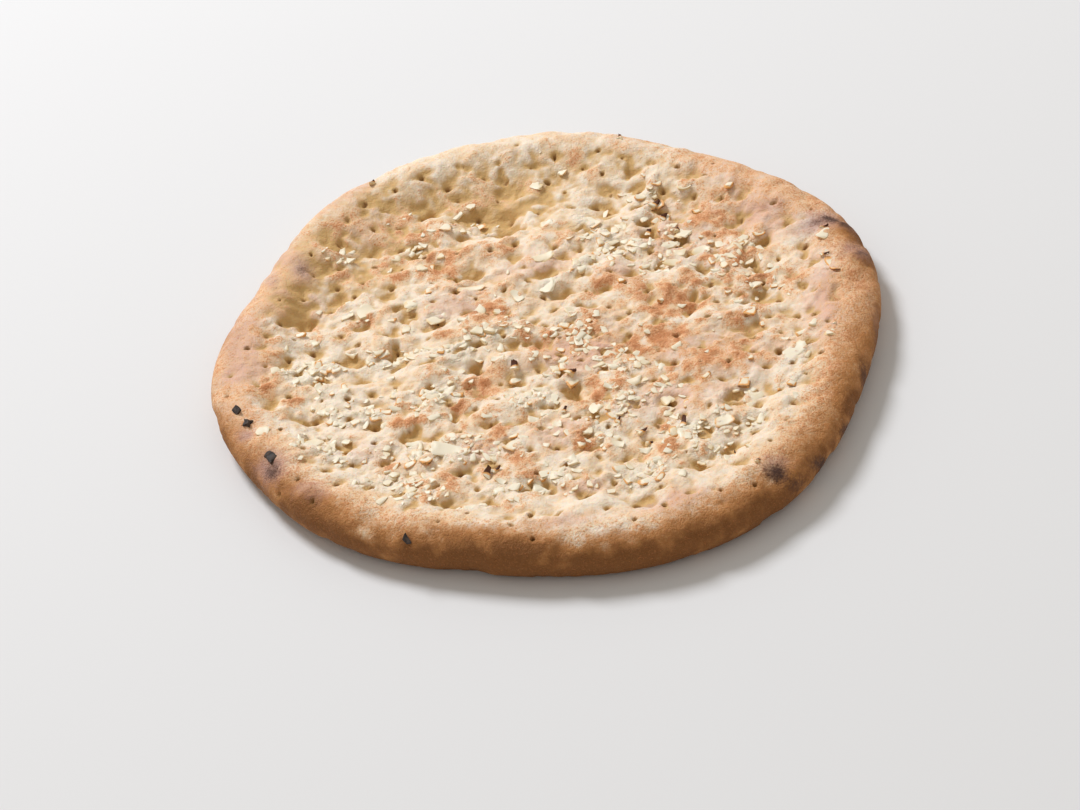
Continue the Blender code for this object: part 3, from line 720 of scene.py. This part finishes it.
def boredMaps(holeRows, climb):  # how deep the docking holes go, and the dimples round them
    bores, dimples = np.zeros(gridX.shape), np.zeros(gridX.shape)
    share = holes["rimDimple"] + (1 - holes["rimDimple"]) * middleShare(climb)
    rng = random.Random(holes["seed"] + 1)
    wavy = holes["wobble"] * lumps(holes["wobbleSeed"], holes["wobbleSize"])
    for x, y, radius, depth in holeRows:
        part, dx, dy = patch(*unrolledSpot(x, y), holes["mapReach"] * radius)
        along, across = turned(dx, dy, rng.uniform(-holes["turn"], holes["turn"]))
        stretch = rng.uniform(*holes["stretch"])
        away = np.abs(np.hypot(along * stretch, across / stretch) / radius + wavy[part])
        bore = depth * rng.uniform(*holes["bore"])
        sides = rng.uniform(*holes["sides"])
        bores[part] += bore * np.clip(1 - (away * holes["narrow"]) ** sides, 0, 1)
        sunk = rng.uniform(*holes["dimple"]) * share[part]
        wide = radius * rng.uniform(*holes["dimpleWidth"])
        reach = radius * rng.uniform(*holes["dimpleReach"])
        dimples[part] += sunk * wedge(*awry(part, along, across), wide, reach, holes)
    return bores, dimples


crustRelief = {
    "waves": [  # seed, size, height, more on the middle, on rugged crust and on rubble, creased
        (1, 18, 0.45, 0.3, 0, 0, False),
        (2, 8, 0.24, 0, 0.26, 0, False),
        (13, 6, 0.16, 0, 0.22, 0, True),
        (19, 3, 0, 0, 0.16, 0, True),
        (3, 3.6, 0.1, 0, 0.06, 0, False),
        (4, 2.2, 0.035, 0.06, 0, 0.16, False)],
    "crease": 0.8,  # the mean of a creased wave, whose valleys are sharp
    "rugged": (0.6, 0.3, 16, 22),  # how rugged the middle is, how uneven, with seed and size
    "ruggedLimits": (0.1, 1.2),
    "crumbs": (0.4, 15, 3.4),  # height of the crumbs among the rubble, with seed and size
    "crumbLimits": (-0.5, 1.2),
    "bed": 0.22,  # how far the crust rises round a chip, as a share of its thickness
    "bedReach": 0.66,  # as a share of its length
    "bedSides": 1.3,
    "mapReach": 1.6,
}


def reliefMap(pressed, bored, chipRows, climb):  # height of the crust above the plain section
    form = crustRelief
    inner = middleShare(climb)
    rubble = blobs(garlic["rubble"]) * inner
    level, uneven, seed, size = form["rugged"]
    rugged = level + uneven * lumps(seed, size) - blobs(dents["smoothZones"])
    rugged = inner * np.clip(rugged, *form["ruggedLimits"])
    height, seed, size = form["crumbs"]
    field = np.clip(lumps(seed, size), *form["crumbLimits"]) * height * rubble - pressed - bored
    for seed, size, height, onMiddle, onRugged, onRubble, creased in form["waves"]:
        wave = lumps(seed, size)
        if creased:
            wave = np.abs(wave) - form["crease"]
        field += wave * (height + onMiddle * inner + onRugged * rugged + onRubble * rubble)
    for x, y, length, width, thickness, heading in chipRows:
        part, dx, dy = patch(x, y, form["mapReach"] * length)
        along, across = turned(dx, dy, math.radians(heading))
        away = ((along / length) ** 2 + (across / width) ** 2) / form["bedReach"] ** 2
        field[part] += form["bed"] * thickness * np.exp(-away ** form["bedSides"])
    return field


def chipRowsOf(holeRows):  # x, y, length, width, thickness and heading of every larger chip
    slices = [(*row[:4], garlic["thickness"], row[4]) for row in garlic["slices"]]
    bits, tips = [[(*row[:4], charred["thickness"], row[4]) for row in charred[kind]]
                  for kind in ("bits", "tips")]
    taken = [row[:2] for row in slices + bits + tips]
    taken += [hole[:2] for hole in holeRows[:holes["inSolid"]]]
    rng = random.Random(garlic["seed"])
    chopped = []
    for x, y in drawPoints(rng, garlic["count"], garlic["spacing"], garlic["margin"], taken):
        length = rng.uniform(*garlic["length"])
        width = length * rng.uniform(*garlic["ratio"])
        chopped.append((x, y, length, width, length * garlic["flatness"], rng.uniform(0, 180)))
    tips += [(*row[:4], row[3], row[4]) for row in charred["fineTips"]]
    return slices, bits, chopped, tips


def fineRowsOf(holeRows, rows):  # finer garlic in clusters, clear of holes and larger pieces
    rng = random.Random(garlic["fineSeed"])
    uneven, size = garlic["clumps"]
    crowd = blobs(garlic["rubble"]) * (1 + uneven * lumps(garlic["fineSeed"], size))
    crowd = np.clip(crowd, *garlic["chance"])
    spacing, shift, reach = garlic["fineSpacing"], garlic["fineShift"], garlic["fineReach"]
    blockers = np.array([(hole[0], hole[1], hole[2] + garlic["holeGap"]) for hole in holeRows]
                        + [(row[0], row[1], row[3] * garlic["chipGap"]) for row in rows])
    found = []
    cells = range(int(2 * reach / spacing))
    for row, column in [(row, column) for row in cells for column in cells]:
        x = -reach + (column + 0.5 * (row % 2) + rng.uniform(-shift, shift)) * spacing
        y = -reach + (row + rng.uniform(-shift, shift)) * spacing
        chance = rng.random()
        length = rng.uniform(*garlic["fineLength"]) * rng.uniform(*garlic["fineShorter"])
        width = length * rng.uniform(*garlic["fineRatio"])
        thickness = length * rng.uniform(*garlic["fineFlatness"])
        heading = rng.uniform(0, 180)
        if inwardOf(x, y) < garlic["fineMargin"]:
            continue
        if chance > float(readMap(crowd, np.array([x]), np.array([y]))[0]):
            continue
        clear = blockers[:, 2] + length * garlic["ownGap"]
        if (np.hypot(blockers[:, 0] - x, blockers[:, 1] - y) < clear).any():
            continue
        found.append((x, y, length, width, thickness, heading))
    return found


skin = {
    "footPoints": 640,
    "holeRings": ((0.35, 5), (0.72, 9), (1.02, 12), (1.35, 14)),  # share of the radius, points
    "ringTwist": 3,
    "holeClear": 1.45,  # the grid keeps this many radii off a hole's middle
    "rows": ((0.94, 21, 999), (1.35, 4, 21), (1.8, 1 - footLength, 4)),  # spacing, climb from, to
    "reach": 175,
    "flatten": 0.866,  # a row's spacing as a share of a column's, for even triangles
    "jitter": 0.16,
    "seed": 5,
    "footFade": 6,  # the relief fades in over this climb above the foot
    "rimLimit": 1.5,  # most that relief stands out on the rim
    "rimStart": (3, 17),  # climb over which that limit grows
}


def triangleGrid(reach, across, along):  # points of a grid, every second row shifted by half
    columns, rows = np.meshgrid(np.arange(-reach, reach, across), np.arange(-reach, reach, along))
    columns = columns + 0.5 * across * (np.arange(len(rows)) % 2)[:, None]
    return np.stack([columns.ravel(), rows.ravel()], -1)


def skinPoints(holeRows):  # unrolled points of the crust: foot ring, rings in holes, jittered grid
    angles = np.arange(skin["footPoints"]) * 2 * math.pi / skin["footPoints"]
    radius = edgeRadius(angles) + unrolledExtra + footLength
    points = [np.stack([radius * np.cos(angles), radius * np.sin(angles)], -1)]
    kept = np.ones(gridX.shape)
    for x, y, size, depth in holeRows:
        u, v = unrolledSpot(x, y)
        apart = size * skin["holeClear"]
        part, dx, dy = patch(u, v, apart)
        kept[part] *= np.hypot(dx, dy) > apart
        ring = [(u, v)]
        for share, sides in skin["holeRings"]:
            for side in range(sides):
                turn = 2 * math.pi * (side + share * skin["ringTwist"]) / sides
                ring.append((u + size * share * math.cos(turn), v + size * share * math.sin(turn)))
        points.append(np.array(ring))
    rng = np.random.default_rng(skin["seed"])
    for spacing, low, high in skin["rows"]:
        spots = triangleGrid(skin["reach"], spacing, spacing * skin["flatten"])
        spots = spots + rng.uniform(-skin["jitter"], skin["jitter"], spots.shape) * spacing
        climb = climbOf(spots[:, 0], spots[:, 1])
        clear = readMap(kept, spots[:, 0], spots[:, 1]) > 0.5
        points.append(spots[(climb > low) & (climb <= high) & clear])
    return np.concatenate(points)


def triangles(points, count):  # of all points, inside the ring that the first ones make
    corners = [Vector(point) for point in points.tolist()]
    flat, _, faces, *_ = delaunay_2d_cdt(corners, [], [list(range(count))], 1, 1e-6)
    return np.array([tuple(point) for point in flat]), faces


def surfacePlace(relief, u, v):
    place, normal = basePoints(u, v)
    climb = climbOf(u, v)
    lift = readMap(relief, u, v) * smooth(climb, -footLength, skin["footFade"] - footLength)
    limit = skin["rimLimit"] * smooth(climb, *skin["rimStart"])
    lift = np.where(climb < crestLength, np.minimum(lift, limit), lift)
    return place + normal * lift[:, None], normal


def addReading(mesh, name, values):  # one number for each point, which the materials read
    attribute = mesh.attributes.new(name, "FLOAT", "POINT")
    attribute.data.foreach_set("value", values.astype(np.float32))


def placed(name, data):
    thing = bpy.data.objects.new(name, data)
    bpy.context.scene.collection.objects.link(thing)
    return thing


underside = {
    "seed": 6,
    "reach": 150,
    "across": 4.0,
    "along": 3.5,
    "jitter": 0.8,
    "edge": 11,  # its points keep this far inside the loaf's outline
    "wave": (0.35, 8, 14),  # height of its shallow waves, with seed and size
    "rise": 0.9,  # the most that it rises off the ground
    "riseStart": (10, 30),  # distance inside the outline over which it begins to rise
    "patches": (12, 26),  # seed and size of its darker patches
    "toast": (0.9, 0.1),  # level all over, and how much a patch adds
    "brown": (0.45, 0.25),
    "char": (1.6, 0.5),  # where a patch begins to char, and how fast
}


def undersideOf(ring):  # its points, how far each is off the ground, and its triangles
    rng = np.random.default_rng(underside["seed"])
    first, last = -underside["reach"], underside["reach"] + 1
    columns, rows = np.meshgrid(np.arange(first, last, underside["across"]),
                                np.arange(first, last, underside["along"]))
    spots = np.stack([columns.ravel(), rows.ravel()], -1)
    spots = spots + rng.uniform(-underside["jitter"], underside["jitter"], spots.shape)
    spots = spots[inwardOf(spots[:, 0], spots[:, 1]) > underside["edge"]]
    under, faces = triangles(np.concatenate([ring, spots]), len(ring))
    inner = under[len(ring):]
    height, seed, size = underside["wave"]
    rise = readMap(height * lumps(seed, size), inner[:, 0], inner[:, 1])
    rise = np.clip(rise, 0, underside["rise"])
    rise = rise * smooth(inwardOf(inner[:, 0], inner[:, 1]), *underside["riseStart"])
    return inner, rise, faces


def underMask(name, spots):  # the underside is evenly browned, and darker in patches
    patches = readMap(lumps(*underside["patches"]), spots[:, 0], spots[:, 1])
    if name == "char":
        start, share = underside["char"]
        return np.clip(patches - start, 0, 1) * share
    level, more = underside.get(name, (0, 0))
    return level + more * patches


uvDiscs = {  # share of the picture's side and width in plan of each disc
    "top": (0.76, 360),
    "under": (0.38, 330),
    "margin": 0.005,
}


def layOutUvs(mesh, plan, topFaces):  # the top as one large disc and the underside as a small one
    topSize, topWidth = uvDiscs["top"]
    underSize, underWidth = uvDiscs["under"]
    corners = np.zeros(len(mesh.loops), int)
    mesh.loops.foreach_get("vertex_index", corners)
    starts = np.zeros(len(mesh.polygons), int)
    mesh.polygons.foreach_get("loop_start", starts)
    onTop = np.arange(len(corners)) < starts[topFaces]
    top = uvDiscs["margin"] + (plan[corners] / topWidth + 0.5) * topSize
    under = 1 - uvDiscs["margin"] - underSize + (plan[corners] / underWidth + 0.5) * underSize
    layer = mesh.uv_layers.new(name="OFBake")
    layer.data.foreach_set("uv", np.where(onTop[:, None], top, under).ravel())


def buildLoaf(relief, masks, holeRows):
    footCount = skin["footPoints"]
    flat, faces = triangles(skinPoints(holeRows), footCount)
    place, _ = surfacePlace(relief, flat[:, 0], flat[:, 1])
    onTop = climbOf(flat[:, 0], flat[:, 1]) > crestLength
    place[:, 2] = np.where(onTop, np.maximum(place[:, 2], loaf["thinnest"]), place[:, 2])
    inner, rise, underFaces = undersideOf(place[:footCount, :2])
    index = np.concatenate([np.arange(footCount), len(place) + np.arange(len(inner))])

    joined = np.concatenate([place, np.column_stack([inner, rise])])
    joined[:, :2] = (joined[:, :2] - edgeMiddle()) * (1 - loaf["skin"] / loaf["radius"])
    joined[:, 2] = np.clip(joined[:, 2], 0, None)
    allFaces = [tuple(face) for face in faces]
    allFaces += [tuple(int(index[corner]) for corner in reversed(face)) for face in underFaces]
    mesh = bpy.data.meshes.new("naanCrust")
    mesh.from_pydata((joined * mm).tolist(), [], allFaces)
    mesh.validate()
    for name, field in masks.items():
        onCrust = readMap(field, flat[:, 0], flat[:, 1])
        addReading(mesh, name, np.concatenate([onCrust, underMask(name, inner)]))
    layOutUvs(mesh, np.concatenate([flat, inner]), len(faces))
    mesh.shade_smooth()
    print("crust triangles", len(mesh.polygons))
    return placed("naanCrust", mesh)


# Loose pieces, each kind joined into one mesh.


def blockMesh(cells):  # a cube whose faces are split into cells, as points and triangles
    block = bmesh.new()
    bmesh.ops.create_cube(block, size=2)
    bmesh.ops.subdivide_edges(block, edges=block.edges, cuts=cells - 1, use_grid_fill=True)
    bmesh.ops.triangulate(block, faces=block.faces)
    points = np.array([tuple(vert.co) for vert in block.verts])
    faces = np.array([[vert.index for vert in face.verts] for face in block.faces])
    block.free()
    return points, faces


# Cells along an edge, lift off the crust, then how round, bent, tapered, tilted and burnt.
chipKinds = {
    "garlicSlices": (7, 0.15, 0.6, 1.4, 0.3, 0.12, 0),
    "garlicChopped": (5, 0, 0.5, 0.8, 0.4, 0.15, 0),
    "garlicFine": (3, 0, 0.5, 0.6, 0.4, 0.2, 0),
    "toastedTips": (5, 0.35, 0.2, 0.4, 0.8, 0.5, 1.6),
    "charredBits": (7, 0.1, 0.1, 0, 0, 0.3, 0),
}
chips = {
    "seed": 51,
    "corners": 0.5,  # how far a chip's corners stray from a block's
    "ball": 1.25,  # radius of the ball that a block is rounded toward
    "waves": (0.1, 0.08, 0.06),
    "waveCount": 2.6,
    "wavePhase": 6.3,
    "shrink": 1.2,  # brings the strayed corners back to the chip's size
    "crispAngle": 58,  # edges sharper than this many degrees show
    "ring": 0.45,  # a chip rests on the mean of a ring of this radius, as a share of its length
    "ringPoints": 12,
    "foot": (-0.3, 0.9),  # heights between which its painted shade runs out
    "shades": 0.6,  # how much the chips differ in shade
    "crown": (0.3, 1.1),  # from its middle to its edge, which toasts first
    "tip": (-0.4, 1.0),  # along its length, between which its end burns
    "tipLift": 0.5,  # what stands higher burns sooner
    "leastTaper": 0.4,  # share of its kind's taper and bend that every chip has
    "leastBend": 0.3,
    "bendLevel": 0.4,  # keeps a bent chip at the same mean height
}


def chipShape(cube, rng, roundness):  # a block with eight uneven corners and a wavy skin
    outward = cube / np.linalg.norm(cube, axis=1)[:, None]
    points = cube * (1 - roundness) + outward * chips["ball"] * roundness
    shifts = rng.uniform(-chips["corners"], chips["corners"], (2, 2, 2, 3))
    share = (np.clip(cube, -1, 1) + 1) / 2
    for corner in np.ndindex(2, 2, 2):
        sides = [share[:, way] if corner[way] else 1 - share[:, way] for way in range(3)]
        points = points + np.prod(sides, axis=0)[:, None] * shifts[corner]
    for height in chips["waves"]:
        wave = rng.normal(size=3) * chips["waveCount"]
        swell = height * np.sin(points @ wave + rng.uniform(0, chips["wavePhase"]))
        points = points + outward * swell[:, None]
    return points / chips["shrink"]


def restingPlace(relief, x, y, length):  # mean of the crust round a chip, and its normal
    turns = 2 * math.pi * np.arange(chips["ringPoints"]) / chips["ringPoints"]
    reach = chips["ring"] * length
    spots = unroll(x + reach * np.cos(turns), y + reach * np.sin(turns))
    ground, normal = surfacePlace(relief, *spots)
    return ground.mean(0), normal.mean(0) / np.linalg.norm(normal.mean(0))


def scatterChips(name, rows, relief, toastLevels):  # one mesh of all chips of a kind
    cells, lift, roundness, bend, taper, tilt, burn = chipKinds[name]
    cube, faces = blockMesh(cells)
    rng = np.random.default_rng(chips["seed"] + len(name))
    verts, polys, shades, toasts = [], [], [], []
    for number, (x, y, length, width, thickness, heading) in enumerate(rows):
        points = chipShape(cube, rng, roundness)
        crown = smooth(np.abs(points[:, :2]).max(1), *chips["crown"])
        tip = smooth(points[:, 0] + chips["tipLift"] * points[:, 2], *chips["tip"])
        # painted shade: the lower parts of a chip are darker and warmer
        foot = 1 - smooth(points[:, 2], *chips["foot"])
        narrowing = taper * smooth(points[:, 0], -1, 1) * rng.uniform(chips["leastTaper"], 1)
        points[:, 1:] *= (1 - narrowing)[:, None]
        bow = points[:, 0] ** 2 - chips["bendLevel"]
        points[:, 2] += bend * bow * rng.uniform(chips["leastBend"], 1)
        points = points * (length / 2, width / 2, thickness / 2)
        turn = Euler((rng.uniform(-tilt, tilt), rng.uniform(-tilt, tilt), math.radians(heading)))
        points = points @ np.array(turn.to_matrix()).T
        ground, normal = restingPlace(relief, x, y, length)
        lean = Vector((0, 0, 1)).rotation_difference(Vector(normal)).to_matrix()
        points = points @ np.array(lean).T
        points += ground + normal * lift * thickness - (*edgeMiddle(), 0)
        points[:, 2] -= max(points[:, 2].max() - tallest, 0)
        verts.append(points)
        polys.append(faces + number * len(cube))
        # its own random tone, plus painted shade toward its foot
        shades.append(chips["shades"] * rng.random() + foot)
        toasts.append(toastLevels[number] * crown + burn * tip)
    mesh = bpy.data.meshes.new(name)
    mesh.from_pydata((np.concatenate(verts) * mm).tolist(), [], np.concatenate(polys).tolist())
    addReading(mesh, "shade", np.concatenate(shades))
    addReading(mesh, "toast", np.concatenate(toasts))
    mesh.shade_smooth()
    mesh.set_sharp_from_angle(angle=math.radians(chips["crispAngle"]))
    print(name, "pieces", len(rows), "triangles", len(mesh.polygons))
    return placed(name, mesh)


# Stage: floor, lights and camera.

stage = {  # metres and watts
    "floorSize": 10.0,
    "floor": tone(224, 224, 224),
    "floorRoughness": 0.9,
    "fill": (1.0, 0.95, 0.88, 1.0),  # light that comes from all round is a little warm
    "fillStrength": 0.5,
    "keyFrom": (-1.26, 2.1, 2.45),
    "keySize": 1.1,
    "keyColour": (0.98, 1.0, 1.05),
    "keyPower": 101,
}


def addLight(name, place, size, power, colour):
    data = bpy.data.lights.new(name, "AREA")
    data.shape = "DISK"
    data.size = size
    data.energy = power
    data.color = colour
    light = placed(name, data)
    light.location = place
    light.rotation_euler = (-Vector(place)).to_track_quat("-Z", "Y").to_euler()


def buildStage():
    half = stage["floorSize"] / 2
    mesh = bpy.data.meshes.new("floor")
    corners = [(-half, -half, 0), (half, -half, 0), (half, half, 0), (-half, half, 0)]
    mesh.from_pydata(corners, [], [(0, 1, 2, 3)])
    floor = placed("floor", mesh)
    material, shader, _ = newMaterial("paleFloor")
    shader.inputs["Base Color"].default_value = stage["floor"]
    shader.inputs["Roughness"].default_value = stage["floorRoughness"]
    mesh.materials.append(material)
    world = bpy.data.worlds.new("softRoom")
    world.use_nodes = True
    background = world.node_tree.nodes["Background"]
    background.inputs["Color"].default_value = stage["fill"]
    background.inputs["Strength"].default_value = stage["fillStrength"]
    bpy.context.scene.world = world
    addLight("key", stage["keyFrom"], stage["keySize"], stage["keyPower"], stage["keyColour"])
    bpy.context.scene.view_settings.view_transform = "Standard"


view = {
    "lens": 90,
    "sensor": 36,
    "elevation": 41,  # degrees
    "roll": 10,  # degrees: the loaf's right side stands higher in the picture
    "distance": 1.1966,  # metres
    "target": (-8.1, -33.2),  # on the ground, from the centre of the outline's circle
}


def buildCamera():
    data = bpy.data.cameras.new("camera")
    data.lens = view["lens"]
    data.sensor_width = view["sensor"]
    camera = placed("camera", data)
    tilt = math.radians(view["elevation"])
    middle = edgeMiddle()
    target = Vector((view["target"][0] - middle[0], view["target"][1] - middle[1], 0)) * mm
    back = Vector((0, -math.cos(tilt), math.sin(tilt)))
    camera.location = target + back * view["distance"]
    roll = Matrix.Rotation(math.radians(-view["roll"]), 3, "Z")
    camera.rotation_euler = (back.to_track_quat("Z", "Y").to_matrix() @ roll).to_euler()
    bpy.context.scene.camera = camera


baking = {
    "toastGrow": 1.25,  # the toasted blots reach this much wider than their rows say
    "toastWaves": ((0.25, 9, 5), (0.12, 10, 8)),  # on blots and all over: height, seed, size
    "toastRaised": 0.2,  # what stands out is toasted more
    "toastPeaks": (0.08, 0.12),  # and its fine peaks too, more so in a blot
    "toastLimit": 1.3,
    "paleness": {"toast": 0.3, "brown": 0.3, "rose": 0.2},  # what the pale blots take off each
    "mottle": (11, 12),  # seed and size
    "fleck": (14, 5),
    "edgeRagged": (2.5, 1.2),  # how far mottle and flecks move the browned rim's edge
    "edgeFade": (-12, 7),
    "edgeUneven": (0.11, 0.08),
    "brownLimit": 1.2,
    "footBrown": 0.7,
    "footFade": -2,  # climb up to which the foot is browned
    "lowBrownAndShade": (0.35, 1, 10),  # how much browner the rim's lower half is, between these climbs: partly browning, partly painted shade toward the ground
    "crestFade": (18, 34),  # climbs over which the crest's toasting runs out
    "crestRagged": (3, 0.1),
    "hollowPressed": 9,  # depth of a dent, and of a hole, that has the full painted shade colour throughout
    "hollowBored": 3,
    # raised places take off painted shade, and fine lows add it
    "hollowRaised": 0.25,
    "hollowPeaks": 0.3,
    "holeDeep": 0.75,  # depth of a hole that is painted dark with shade throughout
    "holeLimit": 0.95,
    "chipPaste": 0.8,
    "raised": (5, 1.2, -2, 1.5),  # blurred by, full height, limits
    "peaks": (0.6, 1.8, 0.5, 0.4),  # blurred by, and less a wider blur, limit, full height
}


def raisedMap(relief):
    width, full, low, high = baking["raised"]
    return np.clip((relief - blur(relief, width)) / full, low, high)


def peaksMap(relief):
    fine, wide, limit, full = baking["peaks"]
    return np.clip(blur(relief, fine) - blur(relief, wide), -limit, limit) / full


def brownAndShadeMap(climb, limit, level, mottle, fleck, pale):  # the browned rim and foot, with painted shade darkening the rim's side turned from the light
    ragged, uneven = baking["edgeRagged"], baking["edgeUneven"]
    outer = 1 - smooth(climb + ragged[0] * mottle + ragged[1] * fleck - limit, *baking["edgeFade"])
    level = level * outer * (1 + uneven[0] * mottle + uneven[1] * fleck)
    brown = np.clip(blobs(colours["brown"]) + level, 0, baking["brownLimit"])
    foot = 1 - smooth(climb, -footLength, baking["footFade"])
    brown = np.maximum(brown, baking["footBrown"] * foot)
    brown = np.clip(brown - baking["paleness"]["brown"] * pale, 0, None)
    # the rim's lower half is made darker: browning with painted shade
    more, low, high = baking["lowBrownAndShade"]
    return brown * (1 + more * (1 - smooth(climb, low, high)))


def toastMap(climb, crest, mottle, pale, raised, peaks):
    onBlots, allOver = [height * lumps(seed, size) for height, seed, size in baking["toastWaves"]]
    toast = blobs(colours["toast"], baking["toastGrow"]) * (1 + onBlots) + allOver
    toast += baking["toastRaised"] * np.clip(raised, -1, 1) - baking["paleness"]["toast"] * pale
    always, onToast = baking["toastPeaks"]
    toast += peaks * (always + onToast * toast)
    edge, uneven = baking["crestRagged"]
    onRim = 1 - smooth(climb + edge * mottle, *baking["crestFade"])
    return np.clip(np.maximum(toast, onRim * (crest + uneven * mottle)), 0, baking["toastLimit"])


def bakedMasks(climb, relief, pressed, bores, dimples, chipRows):
    raised, peaks = raisedMap(relief), peaksMap(relief)
    mottle, fleck = lumps(*baking["mottle"]), lumps(*baking["fleck"])
    around = np.degrees(np.arctan2(gridY, gridX))
    limit, level, crest = [np.interp(around, list(rimBakeAndShade), column)
                           for column in zip(*rimBakeAndShade.values())]
    pale = blobs(colours["pale"])
    # painted shade: dents, holes, the far slope and fine lows get the golden shade colour
    hollow = pressed / baking["hollowPressed"] + (bores + dimples) / baking["hollowBored"]
    hollow += blobs(backSlopeShade) - baking["hollowRaised"] * raised - baking["hollowPeaks"] * peaks
    garlicky = [(*row[:4], row[5], baking["chipPaste"]) for row in chipRows]
    paste = np.maximum(blobs(garlic["rubble"]), blobs(garlicky))
    return {
        "toast": toastMap(climb, crest, mottle, pale, raised, peaks),
        "brown": brownAndShadeMap(climb, limit, level, mottle, fleck, pale),
        "rose": blobs(colours["rose"]) - baking["paleness"]["rose"] * pale,
        "char": blobs(colours["char"]),
        "mauve": blobs(colours["mauve"]),
        "hollow": np.clip(hollow, 0, 1),
        "paste": paste * middleShare(climb),
        "hole": np.clip(bores / baking["holeDeep"], 0, baking["holeLimit"]),
    }


def ridden(piece, material):
    piece.data.materials.append(material)
    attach(piece, "root")
    return piece


toasting = {  # how toasted the edges of the pieces are, one of these at random
    "chopped": (0.1, 0.3, 0.45, 0.6, 0.9),
    "fine": (0.0, 0.15, 0.3, 0.4, 0.5, 0.75),
    "tips": 0.3,
    "seed": 4,
}

print("stage and camera")
buildStage()
buildCamera()

print("relief and colour maps")
climbMap = climbOf(gridX, gridY)
dentRows, holeRows = makeDents(), makeHoles()
sliceRows, burntRows, choppedRows, tipRows = chipRowsOf(holeRows)
fineRows = fineRowsOf(holeRows, sliceRows + burntRows + choppedRows)
print("dents", len(dentRows), "holes", len(holeRows), "fine garlic", len(fineRows))
pressed = pressedMap(dentRows)
bores, dimples = boredMaps(holeRows, climbMap)
relief = reliefMap(pressed, bores + dimples, sliceRows + choppedRows + fineRows, climbMap)
masks = bakedMasks(climbMap, relief, pressed, bores, dimples, sliceRows + choppedRows)

print("crust")
bread = ridden(buildLoaf(relief, masks, holeRows), crustMaterial())
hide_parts("naan")

print("garlic and charred bits")
garlicSkin = garlicMaterial()
rng = random.Random(toasting["seed"])
bareSlices = [(*row[:4], garlic["sliceThickness"], row[5]) for row in sliceRows]
sliceToast = [row[5] for row in garlic["slices"]]
choppedToast = [rng.choice(toasting["chopped"]) for _ in choppedRows]
fineToast = [rng.choice(toasting["fine"]) for _ in fineRows]
ridden(scatterChips("garlicSlices", bareSlices, relief, sliceToast), garlicSkin)
ridden(scatterChips("garlicChopped", choppedRows, relief, choppedToast), garlicSkin)
ridden(scatterChips("garlicFine", fineRows, relief, fineToast), garlicSkin)
tipToast = [toasting["tips"]] * len(tipRows)
ridden(scatterChips("toastedTips", tipRows, relief, tipToast), garlicSkin)
bitToast = [0] * len(burntRows)
ridden(scatterChips("charredBits", burntRows, relief, bitToast), charMaterial())
